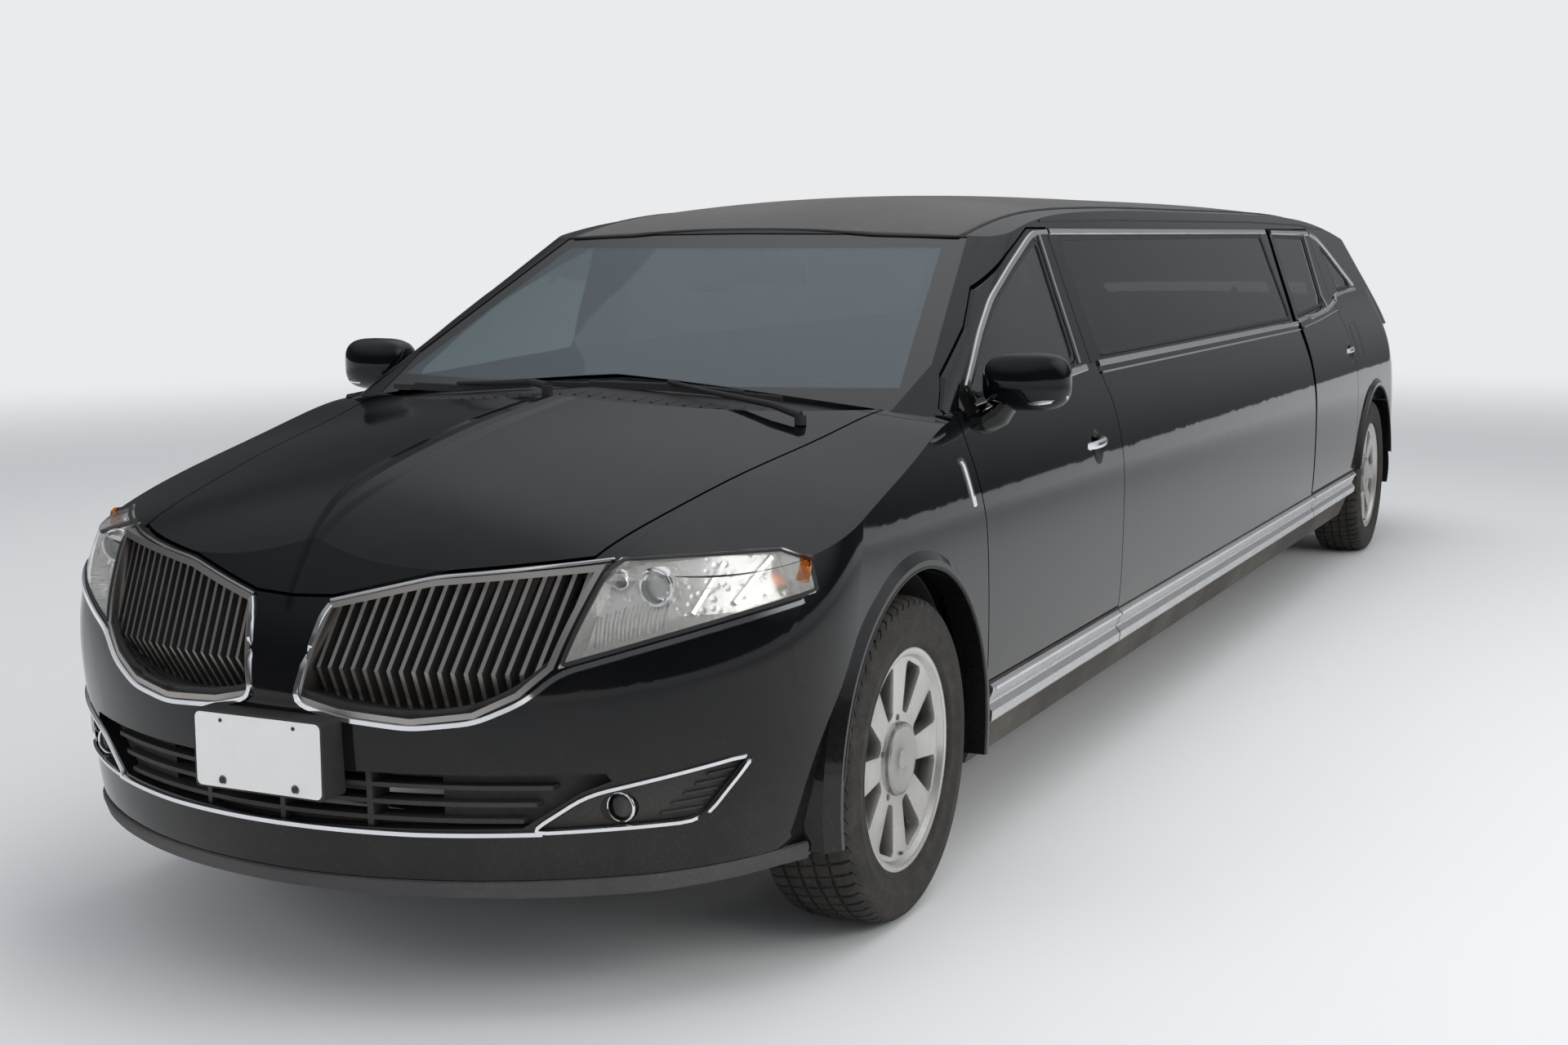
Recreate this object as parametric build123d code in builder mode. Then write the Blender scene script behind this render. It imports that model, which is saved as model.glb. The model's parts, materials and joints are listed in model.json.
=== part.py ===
"""Stretch limousine, a four-door estate car lengthened between its doors.

Millimetres. +X forward, +Y to the left, +Z up, the floor under the tyres at z = 0, and x = 0 halfway
between the front of the number plate and the tail. Places along the car are given from the axles:
front(d) is d ahead of the front axle and rear(d) is d behind the rear axle.
"""
from build123d import *
from math import atan2, cos, radians, sin, sqrt, tan, tau
import os

os.makedirs("parts", exist_ok=True)

# Overall sizes
base_wheelbase = 2995.0
stretch_length = 3048.0
front_overhang = 1036.0
rear_overhang = 1248.0
plate_stand_off = 51.0
overall_height = 1676.0
lip_half_width = 965.0

# Wheels and arches
track = 1659.0
tyre_radius = 370.0
tyre_width = 232.0
rim_radius = 252.0
rim_half_width = 96.0
hub_cap_radius = 84.0
spoke_count = 8
arch_radius = 432.0
arch_lip_width = 52.0
arch_low_z = 285.0
well_inner_y = 486.0
house_wall = 6.0

# Walls
skin_wall = 45.0
hood_wall = 32.0
door_wall = 95.0
frame_wall = 52.0
roof_wall = 42.0
bumper_wall = 60.0
glass_inset = 5.0
glass_thickness = 6.0

# Clearances: round a piece that moves, between fixed neighbours, and where one piece seats on another
gap = 6.0
seam = 0.4
fit = 0.3
shut_taper = 13.0

# Heights
underside_z = 236.0
front_floor_z = 262.0
cabin_floor_z = 300.0
sill_top_z = 446.0
rear_bumper_top_z = 628.0
roof_split_z = 1560.0

# Far enough to pass every face of the car
far_y = 1100.0
top_z = 1800.0

wheelbase = base_wheelbase + stretch_length
front_reach = front_overhang + plate_stand_off
front_axle_x = (wheelbase + rear_overhang + front_reach) / 2 - front_reach
rear_axle_x = front_axle_x - wheelbase
wheel_centre_y = track / 2


def front(distance):
    """x of a place this far ahead of the front axle."""
    return front_axle_x + distance


def rear(distance):
    """x of a place this far behind the rear axle."""
    return rear_axle_x - distance


nose_x = front(1200)
tail_x = rear(1400)

# The lower body in plan, one row a height. Lengths are from the axles.
# height, half width, nose, nose radius, nose corner radius, tail, tail radius, tail corner radius
lower_rows = [
    (235, 880, 985, 1130, 600, 1175, 1700, 740),
    (400, 934, 1030, 1130, 600, 1228, 1700, 790),
    (620, 950, front_overhang, 1200, 570, rear_overhang, 1700, 800),
    (800, 950, 983, 1280, 530, 1240, 1700, 800),
    (930, 938, 893, 1350, 500, 1222, 1700, 780),
    (1050, 907, 800, 1400, 480, 1180, 1700, 740),
    (1150, 868, 730, 1400, 460, 1110, 1700, 690),
    (1300, 818, 640, 1400, 440, 930, 1700, 620),
]
# Inside the walls every other row will do
inner_rows = [lower_rows[number] for number in (0, 1, 3, 5, 7)]
# The glasshouse in plan, likewise. Front lengths are behind the front axle.
upper_rows = [
    (1080, 874, -100, 1800, 120, 1105, 1500, 260),
    (1165, 846, -278, 1800, 120, 1020, 1500, 260),
    (1350, 785, -665, 1790, 115, 745, 1500, 260),
    (1541, 722, -1064, 1760, 105, 440, 1500, 250),
    (1610, 694, -1208, 1740, 100, 320, 1500, 250),
    (1720, 610, -1440, 1700, 90, 120, 1500, 250),
]
# The surface that the grille bars follow: bent at the third row, below which it falls back
grille_rows = [
    (560, 950, 925, 1200, 570, 1248, 1700, 800),
    (704, 950, 1008, 1240, 550, 1248, 1700, 800),
    (930, 938, 885, 1350, 500, 1248, 1700, 800),
    (1050, 907, 792, 1400, 480, 1248, 1700, 800),
]
# The bonnet and wing tops: distance ahead of the front axle, height at the middle, drop at the side
hood_rows = [
    (1080, 765, 240),
    (889, 937, 240),
    (708, 1033, 232),
    (562, 1070, 220),
    (376, 1106, 200),
    (176, 1136, 175),
    (-100, 1168, 140),
    (-400, 1190, 100),
    (-760, 1200, 75),
]
hood_side_y = 970.0
hood_crease_share = 0.36
# The roof: distance behind the front axle, height at the middle, drop at the side
roof_rows = [
    (60, 1250, 45),
    (820, 1478, 63),
    (1055, 1546, 70),
    (1300, 1598, 77),
    (1590, 1638, 84),
    (2000, 1662, 92),
    (2600, 1674, 98),
    (3400, overall_height, 101),
    (4400, overall_height, 101),
    (5000, 1670, 101),
    (5600, 1645, 104),
    (6200, 1580, 104),
    (6700, 1500, 104),
    (7200, 1410, 104),
]
roof_side_y = 900.0
roof_crease_share = 0.25

# Side view outlines: x, z and, on doors, 1 where the shut face leans back towards the outside
front_door_points = [
    (front(-494), 452, 0), (front(-480), 680, 0), (front(-468), 860, 0), (front(-430), 1031, 0),
    (front(-424), 1122, 0), (front(-540), 1192, 0), (front(-763), 1300, 0), (front(-937), 1396, 0),
    (front(-1185), 1482, 0), (front(-1420), 1554, 0), (front(-1590), 1554, 1), (front(-1636), 1166, 1),
    (front(-1666), 1069, 1), (front(-1648), 747, 1), (front(-1638), 452, 1),
]
rear_door_points = [
    (rear(-1478), 452, 0), (rear(-1473), 747, 0), (rear(-1453), 989, 0), (rear(-1432), 1110, 0),
    (rear(-1426), 1166, 0), (rear(-1448), 1554, 0), (rear(-640), 1554, 1), (rear(-570), 1240, 1),
    (rear(-500), 1100, 1), (rear(-488), 900, 1), (rear(-498), 452, 1),
]
front_window_points = [
    (front(-560), 1130), (front(-1507), 1175), (front(-1487), 1530), (front(-1410), 1512),
    (front(-1200), 1444), (front(-955), 1355), (front(-781), 1264),
]
stretch_window_points = [
    (front(-1750), 1178), (rear(-1522), 1180), (rear(-1627), 1536), (front(-1687), 1536),
]
rear_window_points = [
    (rear(-1370), 1186), (rear(-785), 1214), (rear(-767), 1527), (rear(-1406), 1534),
]
quarter_window_points = [
    (rear(-346), 1270), (rear(66), 1282), (rear(-300), 1440), (rear(-475), 1505),
]
window_corner = 22.0
# The belt line in side view: the lower body's top edge from the windscreen to the tail
belt_points = [
    (front(-390), 1112), (front(-560), 1122), (front(-1507), 1166), (rear(-1440), 1166),
    (rear(-1180), 1180), (rear(-900), 1206), (rear(-560), 1240), (rear(-250), 1258),
    (rear(100), 1266), (tail_x, 1280),
]
belt_wall = 16.0

# Front view outlines, left half: y and z
lamp_points = [(612, 914), (985, 916), (985, 846), (562, 716)]
grille_points = [
    (92, 826), (300, 876), (606, 906), (556, 716), (500, 662), (420, 622), (300, 606), (150, 618), (52, 640),
]
intake_points = [(0, 392), (496, 402), (598, 472), (650, 494), (640, 510), (0, 507)]
fog_points = [(520, 398), (610, 462), (850, 520), (780, 408)]
screen_points = [(0, 1100), (700, 1104), (745, 1124), (764, 1222), (634, 1533), (320, 1543), (0, 1546)]
rear_glass_points = [(0, 1212), (640, 1212), (655, 1240), (560, 1478), (530, 1490), (0, 1496)]
hood_edge_points = [(0, 834), (94, 838), (300, 888), (612, 918), (990, 918)]

# Bonnet outline from above: middle of its rear edge, its rear corner and its front corner
hood_back_x = front(-40)
hood_corner = (front(-355), 726)
hood_front = (front(651), 582)

# Bumper seam in side view, from behind the lamp to the wheel arch
lamp_back_x = front(474)
seam_points = [
    (lamp_back_x, 850), (front(560), 760), (front(548), 650), (lamp_back_x, 620), (front(300), 560),
    (front(300), 100),
]

# Tailgate: its hinge line and its side edges. An edge point is its distance from the hinge line and
# its half width; the edges are turned about that line, so the gap stays even while it swings.
tail_split_x = rear(345)
tailgate_axis_z = 1556.0
tailgate_edge = [(0, 618), (450, 672), (728, 716), (976, 745), (1225, 742), (1290, 690), (1500, 690)]


# Forms that the pieces are cut from
def plan_wire(half_width, nose, nose_r, corner_r, tail, tail_r, tail_corner_r):
    """One closed plan outline of arcs and two straight sides, in the line builder that is open."""

    def end_points(tip, radius, corner, way):
        reach = sqrt((radius - corner) ** 2 - (half_width - corner) ** 2)
        middle_x = tip - way * radius
        centre = (middle_x + way * reach, half_width - corner)
        lean = atan2(half_width - corner, reach)
        join = (middle_x + way * radius * cos(lean), radius * sin(lean))
        half = (lean + tau / 4) / 2
        swell = (centre[0] + way * corner * cos(half), centre[1] + corner * sin(half))
        return join, swell, (centre[0], half_width)

    def other(point):
        return (point[0], -point[1])

    join_f, swell_f, side_f = end_points(nose, nose_r, corner_r, 1)
    join_r, swell_r, side_r = end_points(tail, tail_r, tail_corner_r, -1)
    ThreePointArc(other(join_f), (nose, 0), join_f)
    ThreePointArc(join_f, swell_f, side_f)
    Line(side_f, side_r)
    ThreePointArc(side_r, swell_r, join_r)
    ThreePointArc(join_r, (tail, 0), other(join_r))
    ThreePointArc(other(join_r), other(swell_r), other(side_r))
    Line(other(side_r), other(side_f))
    ThreePointArc(other(side_f), other(swell_f), other(join_f))


def plan_loft(rows, inset=0.0, ruled=False):
    """The solid through the rows of a plan table, its sides moved in by the inset."""
    with BuildPart() as body:
        for height, half_width, nose, nose_r, corner_r, tail, tail_r, tail_corner_r in rows:
            with BuildSketch(Plane.XY.offset(height)):
                with BuildLine():
                    plan_wire(
                        half_width - inset,
                        front(nose) - inset,
                        nose_r - inset,
                        corner_r - inset,
                        rear(tail) + inset,
                        tail_r - inset,
                        tail_corner_r - inset,
                    )
                make_face()
        loft(ruled=ruled)
    return body.part


def body_inside(wall):
    """What lies more than a wall's thickness inside the lower body."""
    return plan_loft(inner_rows, wall, ruled=True)


def crown_loft(stations, side_y, middle_share, floor_z, drop, ruled):
    """A solid whose top runs through arcs across the car; stations are x, middle height, side drop."""
    with BuildPart() as crown:
        for x, middle, fall in stations:
            top = middle - drop
            side = top - fall
            shoulder = top - fall * middle_share
            with BuildSketch(Plane.YZ.offset(x)):
                with BuildLine():
                    Line((-side_y, floor_z), (side_y, floor_z))
                    Line((side_y, floor_z), (side_y, side))
                    ThreePointArc((side_y, side), (side_y / 2, shoulder), (0, top))
                    ThreePointArc((0, top), (-side_y / 2, shoulder), (-side_y, side))
                    Line((-side_y, side), (-side_y, floor_z))
                make_face()
        loft(ruled=ruled)
    return crown.part


def hood_top(drop, ruled=True):
    """All that lies a drop below the bonnet and wing tops."""
    stations = [(front(ahead), middle, fall) for ahead, middle, fall in hood_rows]
    return crown_loft(stations, hood_side_y, hood_crease_share, 100, drop, ruled)


def roof_top(drop, ruled=True):
    """All that lies a drop below the roof."""
    stations = [(front(-behind), middle, fall) for behind, middle, fall in roof_rows]
    return crown_loft(stations, roof_side_y, roof_crease_share, 900, drop, ruled)


def side_prism(points, y_inner=-1000.0, y_outer=1000.0):
    """A block whose side view is the closed outline of (x, z) points."""
    with BuildPart() as prism:
        with BuildSketch(Plane.XZ.offset(-y_inner)):
            with BuildLine():
                Polyline(*points, close=True)
            make_face()
        extrude(amount=y_inner - y_outer)
    return prism.part


def front_prism(points, x_back, x_front=nose_x, grow=0.0):
    """A block whose front view is the closed outline of (y, z) points, moved out by the growth."""
    with BuildPart() as prism:
        with BuildSketch(Plane.YZ.offset(x_back)):
            with BuildLine():
                Polyline(*points, close=True)
            make_face()
            if grow:
                offset(amount=grow, kind=Kind.INTERSECTION, mode=Mode.REPLACE)
        extrude(amount=x_front - x_back)
    return prism.part


def window_prism(points, grow=0.0):
    """A block through the left side with a window's round-cornered outline."""
    with BuildPart() as prism:
        with BuildSketch(Plane.XZ.offset(-560)) as outline:
            with BuildLine():
                Polyline(*points, close=True)
            make_face()
            fillet(outline.vertices(), window_corner)
            if grow:
                offset(amount=grow, mode=Mode.REPLACE)
        extrude(amount=-450)
    return prism.part


def box(x_low, x_high, y_low, y_high, z_low, z_high):
    """A plain block between two corners."""
    with BuildPart() as block:
        with BuildSketch(Plane.XY.offset(z_low)):
            with Locations(((x_low + x_high) / 2, (y_low + y_high) / 2)):
                Rectangle(x_high - x_low, y_high - y_low)
        extrude(amount=z_high - z_low)
    return block.part


def round_bar(radius, x, y_low, y_high):
    """A cylinder on a wheel's axis."""
    with BuildPart() as bar:
        with BuildSketch(Plane.XZ.offset(-y_low)):
            with Locations((x, tyre_radius)):
                Circle(radius)
        extrude(amount=y_low - y_high)
    return bar.part


def both_sides(solid):
    """The solid and its mirror image over the car's middle plane."""
    return solid + solid.mirror(Plane.XZ)


def mirrored_outline(points):
    """A left half outline, y and z from top or bottom middle to the other, with its right half."""
    return list(points) + [(-y, z) for y, z in reversed(points) if y > 0]


def without(shape, tools):
    """The shape with every tool taken away."""
    for tool in tools:
        shape = shape - tool
    return shape


# Steps inside a sub-part's own block
def keep(*limits):
    """Cuts the part being built back to what lies inside every limit."""
    for limit in limits:
        add(limit, mode=Mode.INTERSECT)


def cut(*tools):
    """Takes the tools away from the part being built."""
    for tool in tools:
        add(tool, mode=Mode.SUBTRACT)


def drop_crumbs(body, smallest=2000.0):
    """Takes away the shavings that a cut left, by their volume."""
    cut(*[solid for solid in body.solids() if solid.volume < smallest])


def write(body, name):
    """Labels a finished sub-part and writes its file."""
    body.part.label = name
    export_step(body.part, f"parts/{name}.step")
    print(name, len(body.part.solids()), "solids,", round(body.part.volume / 1e6, 2), "litres")


def write_pair(body_left, name):
    """Writes a left sub-part and its mirror image."""
    write(body_left, name + "_left")
    with BuildPart() as body_right:
        add(body_left.part.mirror(Plane.XZ))
    write(body_right, name + "_right")


def belt_block(drop):
    """All that lies a drop below the belt line."""
    top_edge = [(x, z - drop) for x, z in belt_points]
    return side_prism(top_edge + [(tail_x, 100), (front(-390), 100)])


def surface_y(z):
    """Half width of the body's side at this height."""
    rows = [row[:2] for row in lower_rows if row[0] < 1160]
    rows += [row[:2] for row in upper_rows if row[0] > 1160]
    for (z_low, y_low), (z_high, y_high) in zip(rows, rows[1:]):
        if z <= z_high:
            return y_low + (y_high - y_low) * (z - z_low) / (z_high - z_low)
    return rows[-1][1]


def door_prism(points, grow):
    """A left door's block, its shut faces leaning where the outline says so."""
    slope = tan(radians(shut_taper))
    with BuildPart() as prism:
        for y in (560, 1010):
            outline = [(x - slope * (y - surface_y(z)) * leans, z) for x, z, leans in points]
            with BuildSketch(Plane.XZ.offset(-y)):
                with BuildLine():
                    Polyline(*outline, close=True)
                make_face()
                if grow:
                    offset(amount=grow, kind=Kind.INTERSECTION, mode=Mode.REPLACE)
        loft(ruled=True)
    return prism.part


def arch_ring(x):
    """The flared lip round a left wheel arch, turned about the wheel's axis."""
    inner = x + arch_radius
    outer = inner + arch_lip_width
    root_y = 880
    with BuildPart() as ring:
        with BuildSketch(Plane.XY.offset(tyre_radius)):
            with BuildLine():
                Polyline(
                    (inner - 4, root_y),
                    (inner - 4, lip_half_width - 6),
                    (inner + 6, lip_half_width),
                    (inner + 20, lip_half_width),
                    (outer, lip_half_width - 26),
                    (outer, root_y),
                    close=True,
                )
            make_face()
        revolve(axis=Axis((x, 0, tyre_radius), (0, 1, 0)))
    return ring.part


hood_arc_rise = hood_back_x - hood_corner[0]
hood_arc_radius = (hood_corner[1] ** 2 + hood_arc_rise ** 2) / (2 * hood_arc_rise)
hood_arc_centre = (hood_back_x - hood_arc_radius, 0)
hood_side_lean = atan2(hood_corner[1] - hood_front[1], hood_front[0] - hood_corner[0])


def hood_block(grow):
    """All that lies inside the bonnet's outline, moved out by the growth."""
    slope = tan(hood_side_lean)
    side_shift = grow / cos(hood_side_lean)
    corner_x, corner_y = hood_corner
    back_x = corner_x - 60
    back_y = corner_y + slope * (corner_x - back_x) + side_shift
    ahead_y = corner_y - slope * (nose_x - corner_x) + side_shift
    with BuildPart() as plan:
        with BuildSketch(Plane.XY.offset(700)):
            with BuildLine():
                Polyline(
                    (back_x, back_y), (nose_x, ahead_y), (nose_x, -ahead_y), (back_x, -back_y), close=True)
            make_face()
            with Locations(hood_arc_centre):
                Circle(hood_arc_radius - grow, mode=Mode.SUBTRACT)
        extrude(amount=700)
    edge = [(y, z - grow) for y, z in hood_edge_points] + [(990, 1500)]
    return plan.part & front_prism(mirrored_outline(edge), front(-700))


def cowl_block(x_back, half_width):
    """The strip from this place to the bonnet's rear edge, this wide on each side."""
    x_front = front(80)
    with BuildPart() as strip:
        with BuildSketch(Plane.XY.offset(1000)):
            with Locations(hood_arc_centre):
                Circle(hood_arc_radius - gap / 2)
            with Locations(((x_back + x_front) / 2, 0)):
                Rectangle(x_front - x_back, 2 * half_width, mode=Mode.INTERSECT)
        extrude(amount=300)
    return strip.part


def lamp_block(grow):
    """Both headlamps' blocks, moved out by the growth."""
    (y0, z0), (y1, z1), (y2, z2), (y3, z3) = lamp_points
    outline = [(y0 - grow, z0 + grow), (y1, z1 + grow), (y2, z2 - grow), (y3 - grow, z3 - grow)]
    return both_sides(front_prism(outline, lamp_back_x - grow))


def front_bumper_block(grow):
    """All that is ahead of the bumper seam, apart from the wing strip over the lamp."""
    outline = [(x - grow, z) for x, z in seam_points]
    outline += [(nose_x, 100), (nose_x, 1200), (lamp_back_x - grow, 1200)]
    strip_start_y = lamp_points[0][0] + grow
    strip = front_prism(
        [(strip_start_y, 904 + grow), (1000, 892 + grow), (1000, 1300), (strip_start_y, 1300)], front(200))
    return side_prism(outline) - both_sides(strip)


def tailgate_block(grow):
    """All that lies between the tailgate's side edges, behind its hinge line."""
    left_edge = [(distance, y + grow) for distance, y in tailgate_edge]
    right_edge = [(distance, -y) for distance, y in reversed(left_edge)]
    edge_plane = Plane(origin=(tail_split_x, 0, tailgate_axis_z), x_dir=(-1, 0, 0), z_dir=(0, 0, 1))
    with BuildPart() as turned:
        with BuildSketch(edge_plane):
            with BuildLine():
                Polyline(*left_edge, *right_edge, close=True)
            make_face()
        revolve(axis=Axis((tail_split_x, 0, tailgate_axis_z), (0, 1, 0)))
    return turned.part & box(tail_x, tail_split_x + grow, -1000, 1000, 600, top_z)


# Whole forms
lower_full = plan_loft(lower_rows)
upper_full = plan_loft(upper_rows)
front_body = lower_full & hood_top(0, ruled=False) & box(front(-390), nose_x, -1000, 1000, 100, 1300)
belt_body = lower_full & belt_block(0)
cabin_body = upper_full & roof_top(0, ruled=False)

door_inside = body_inside(door_wall)
skin_inside = body_inside(skin_wall)
upper_inside = plan_loft(upper_rows, frame_wall, ruled=True) & roof_top(roof_wall)
below_belt = belt_block(belt_wall) & box(tail_x, front(-390), -1000, 1000, cabin_floor_z, 1300)
cabin_inside = (door_inside & below_belt) + upper_inside
under_wings = [
    (nose_x, 100), (nose_x, 1300), (front(-390), 1300), (front(-390), 1078), (front(-560), 1078),
    (front(-560), 100),
]
front_inside = skin_inside & hood_top(skin_wall) & side_prism(under_wings)
left_wells = [round_bar(arch_radius, x, well_inner_y, 1000) for x in (front_axle_x, rear_axle_x)]
wells = left_wells + [well.mirror(Plane.XZ) for well in left_wells]
front_lips, rear_lips = [both_sides(arch_ring(x)) for x in (front_axle_x, rear_axle_x)]
front_door_cut = both_sides(door_prism(front_door_points, gap))
rear_door_cut = both_sides(door_prism(rear_door_points, gap))

front_whole = (
    front_body
    + (belt_body & box(front(-560), front(-390), -1000, 1000, 100, 1300))
    + (front_lips & box(front(-600), front(600), -1000, 1000, arch_low_z, 900))
)
hood_clear = hood_block(gap / 2)
front_shell = without(front_whole, [front_inside, *wells, hood_clear])
cabin_shell = without(cabin_body, [upper_inside, belt_body, front_body])
side_shell = (belt_body - cabin_inside) + cabin_shell
glass_inside = plan_loft(upper_rows, glass_inset + glass_thickness, ruled=True)
glass_layer = plan_loft(upper_rows, glass_inset) - glass_inside

# Bonnet
hood_outline = hood_block(-gap / 2)
hood_hollow = skin_inside & hood_top(hood_wall)
with BuildPart() as hood:
    add(front_whole)
    keep(hood_outline)
    cut(hood_hollow)
    drop_crumbs(hood)
write(hood, "hood")

# Wings, each with the rest for the bonnet's corner and the pads of the door's two hinges
sill_front_x = front(-506)
hinge_heights = (560, 860)
hinge_height = 70.0
cowl_half_width = 704.0
wing_limits = box(front(-560), nose_x, 0.5, 1000, arch_low_z, 1300)
wing_cuts = [
    front_bumper_block(seam / 2),
    lamp_block(seam / 2),
    front_door_cut,
    cowl_block(front(-390), cowl_half_width + seam),
    box(front(-600), sill_front_x + seam, 0, 1000, 200, sill_top_z + seam),
]
hood_rest = box(front(-330), front(-262), cowl_half_width + 2, 745, 1040, 1140) & hood_top(hood_wall + fit)
front_hinge_limit = door_prism(front_door_points, fit)
front_hinges = [
    box(front(-486), front(-440), 868, 912, z, z + hinge_height) - front_hinge_limit for z in hinge_heights
]
with BuildPart() as fender:
    add(front_shell)
    keep(wing_limits)
    cut(*wing_cuts)
    drop_crumbs(fender)
    add([hood_rest, *front_hinges])
write_pair(fender, "fender")

# Cowl under the windscreen
cowl_outline = cowl_block(front(-389), cowl_half_width)
cowl_top = hood_top(8)
cowl_hollow = hood_top(40)
with BuildPart() as cowl_panel:
    add(front_body)
    keep(cowl_top, cowl_outline)
    cut(cowl_hollow)
    drop_crumbs(cowl_panel, 1e6)
write(cowl_panel, "cowl_panel")

# Nose: the bumper skin with its openings
bumper_outline = front_bumper_block(-seam / 2) & box(front(-100), nose_x, -1000, 1000, front_floor_z, 1300)
nose_cuts = [
    lamp_block(seam / 2),
    both_sides(front_prism(grille_points, front(600))),
    front_prism(mirrored_outline(intake_points), front(700)),
    both_sides(front_prism(fog_points, front(560))),
]
with BuildPart() as front_bumper:
    add(front_shell)
    keep(bumper_outline)
    cut(*nose_cuts)
    drop_crumbs(front_bumper)
write(front_bumper, "front_bumper")

# Grille: a deep frame round each wing and the bars in it, which fall back at their feet
grille_bar_count = 20
grille_bar_width = 8.0
grille_bar_depth = 26.0
grille_bar_feet_y = (60, 560)
grille_bar_heads_y = (96, 616)
grille_frame_width = 12.0
grille_frame_depth = 100.0
left_nose = box(front(600), nose_x, 20, 700, 560, 960)
frame_layer = (plan_loft(lower_rows, -2) & left_nose) - body_inside(grille_frame_depth)
behind_bars = plan_loft(grille_rows, grille_bar_depth, ruled=True)
bar_layer = (plan_loft(grille_rows, ruled=True) & left_nose) - behind_bars
frame_outside = front_prism(grille_points, front(600), grow=-fit)
frame_inside = front_prism(grille_points, front(600), grow=-grille_frame_width)
bar_limits = front_prism(grille_points, front(600), grow=-grille_frame_width / 2)


def along(ends, share):
    """The place this share of the way between two ends."""
    return ends[0] + (ends[1] - ends[0]) * share


with BuildPart() as grille_bars:
    with BuildSketch(Plane.YZ.offset(front(600))):
        for number in range(grille_bar_count):
            share = (number + 0.5) / grille_bar_count
            foot_y = along(grille_bar_feet_y, share)
            head_y = along(grille_bar_heads_y, share)
            with BuildLine():
                Polyline(
                    (foot_y, 590),
                    (foot_y + grille_bar_width, 590),
                    (head_y + grille_bar_width, 920),
                    (head_y, 920),
                    close=True,
                )
            make_face()
    extrude(amount=600)
    keep(bar_limits, bar_layer)
    cut(hood_clear)
with BuildPart() as grille_wing:
    add(frame_outside)
    cut(frame_inside)
    keep(frame_layer)
    cut(hood_clear)
    add(grille_bars.part)
write_pair(grille_wing, "grille")

# Lower grille: a panel that is open in the middle, and thin blades across it
# height and half length
blade_table = [(480, 546), (446, 516), (413, 492)]
blade_thickness = 9.0
upright_places = (-200, 0, 200)
intake_middle_z = 450.0
intake_limit = front_prism(mirrored_outline(intake_points), front(700), grow=-fit)
panel_layer = plan_loft(lower_rows, 36) - body_inside(bumper_wall)
blade_layer = plan_loft(lower_rows, 12) - body_inside(bumper_wall)
with BuildPart() as intake_panel:
    add(intake_limit)
    keep(panel_layer)
    with BuildSketch(Plane.YZ.offset(front(700))):
        with Locations((0, intake_middle_z)):
            Rectangle(670, 100)
    extrude(amount=500, mode=Mode.SUBTRACT)
with BuildPart() as lower_grille:
    with BuildSketch(Plane.YZ.offset(front(700))):
        for height, half_length in blade_table:
            with Locations((0, height)):
                Rectangle(2 * half_length, blade_thickness)
        for y in upright_places:
            with Locations((y, intake_middle_z)):
                Rectangle(12, 140)
    extrude(amount=500)
    keep(intake_limit, blade_layer)
    add(intake_panel.part)
    drop_crumbs(lower_grille)
write(lower_grille, "lower_grille")

# Headlamps: an open housing with a projector and a small inner lamp, behind a clear cover
lamp_cover_wall = 4.0
lamp_rim = 9.0
lamp_floor_depth = 50.0
lamp_back_depth = 78.0
tube_length = 90.0
bore_depth = 30.0
# middle of the front face (ahead of the front axle, y, z), outer radius, bore radius
lamp_tubes = [((715, 687, 857), 38, 32), ((740, 622, 870), 18, 14)]
lamp_outline = lamp_block(-seam / 2)
cover_hollow = plan_loft(lower_rows, lamp_cover_wall) & hood_top(lamp_cover_wall)
housing_form = plan_loft(lower_rows, lamp_cover_wall + fit) & hood_top(lamp_cover_wall + fit)
housing_back = body_inside(lamp_back_depth)
housing_hollow = lamp_block(-lamp_rim) - body_inside(lamp_floor_depth)
with BuildPart() as headlamp_covers:
    add(front_body)
    keep(lamp_outline)
    cut(hood_clear, cover_hollow)
    drop_crumbs(headlamp_covers)
write(headlamp_covers, "headlamp_covers")


def lamp_tube(face, radius, length):
    """A round bar that points straight ahead, the middle of its front face here."""
    ahead, y, z = face
    with BuildPart() as tube:
        with BuildSketch(Plane.YZ.offset(front(ahead) - length)):
            with Locations((y, z)):
                Circle(radius)
        extrude(amount=length)
    return tube.part


tube_walls = [lamp_tube(face, outer, tube_length) for face, outer, bore in lamp_tubes]
tube_bores = [lamp_tube(face, bore, bore_depth) for face, outer, bore in lamp_tubes]
with BuildPart() as headlamp_left:
    add(lamp_block(-seam / 2))
    keep(box(front(300), nose_x, 1, 1000, 600, 1000), housing_form)
    cut(hood_clear, housing_back, housing_hollow)
    drop_crumbs(headlamp_left)
    add(tube_walls)
    cut(*tube_bores)
    keep(housing_form)
with BuildPart() as headlamps:
    add(headlamp_left.part)
    add(headlamp_left.part.mirror(Plane.XZ))
write(headlamps, "headlamps")

# Fog lamp pods, each with a round lamp in a blind bore
fog_place = (651, 435)
fog_lamp_x = front(801)
fog_bore_radius = 31.0
fog_lens_radius = 27.5
fog_limits = both_sides(front_prism(fog_points, front(560), grow=-fit))
fog_layer = plan_loft(lower_rows, 14) - body_inside(bumper_wall)
with BuildPart() as fog_lamps:
    add(fog_limits)
    keep(fog_layer)
    with BuildSketch(Plane.YZ.offset(fog_lamp_x - 22)):
        for y in (fog_place[0], -fog_place[0]):
            with Locations((y, fog_place[1])):
                Circle(fog_bore_radius)
    extrude(amount=200, mode=Mode.SUBTRACT)
    with BuildSketch(Plane.YZ.offset(fog_lamp_x - 23)):
        for y in (fog_place[0], -fog_place[0]):
            with Locations((y, fog_place[1])):
                Circle(fog_lens_radius)
    extrude(amount=18, taper=24)
    drop_crumbs(fog_lamps)
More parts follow.
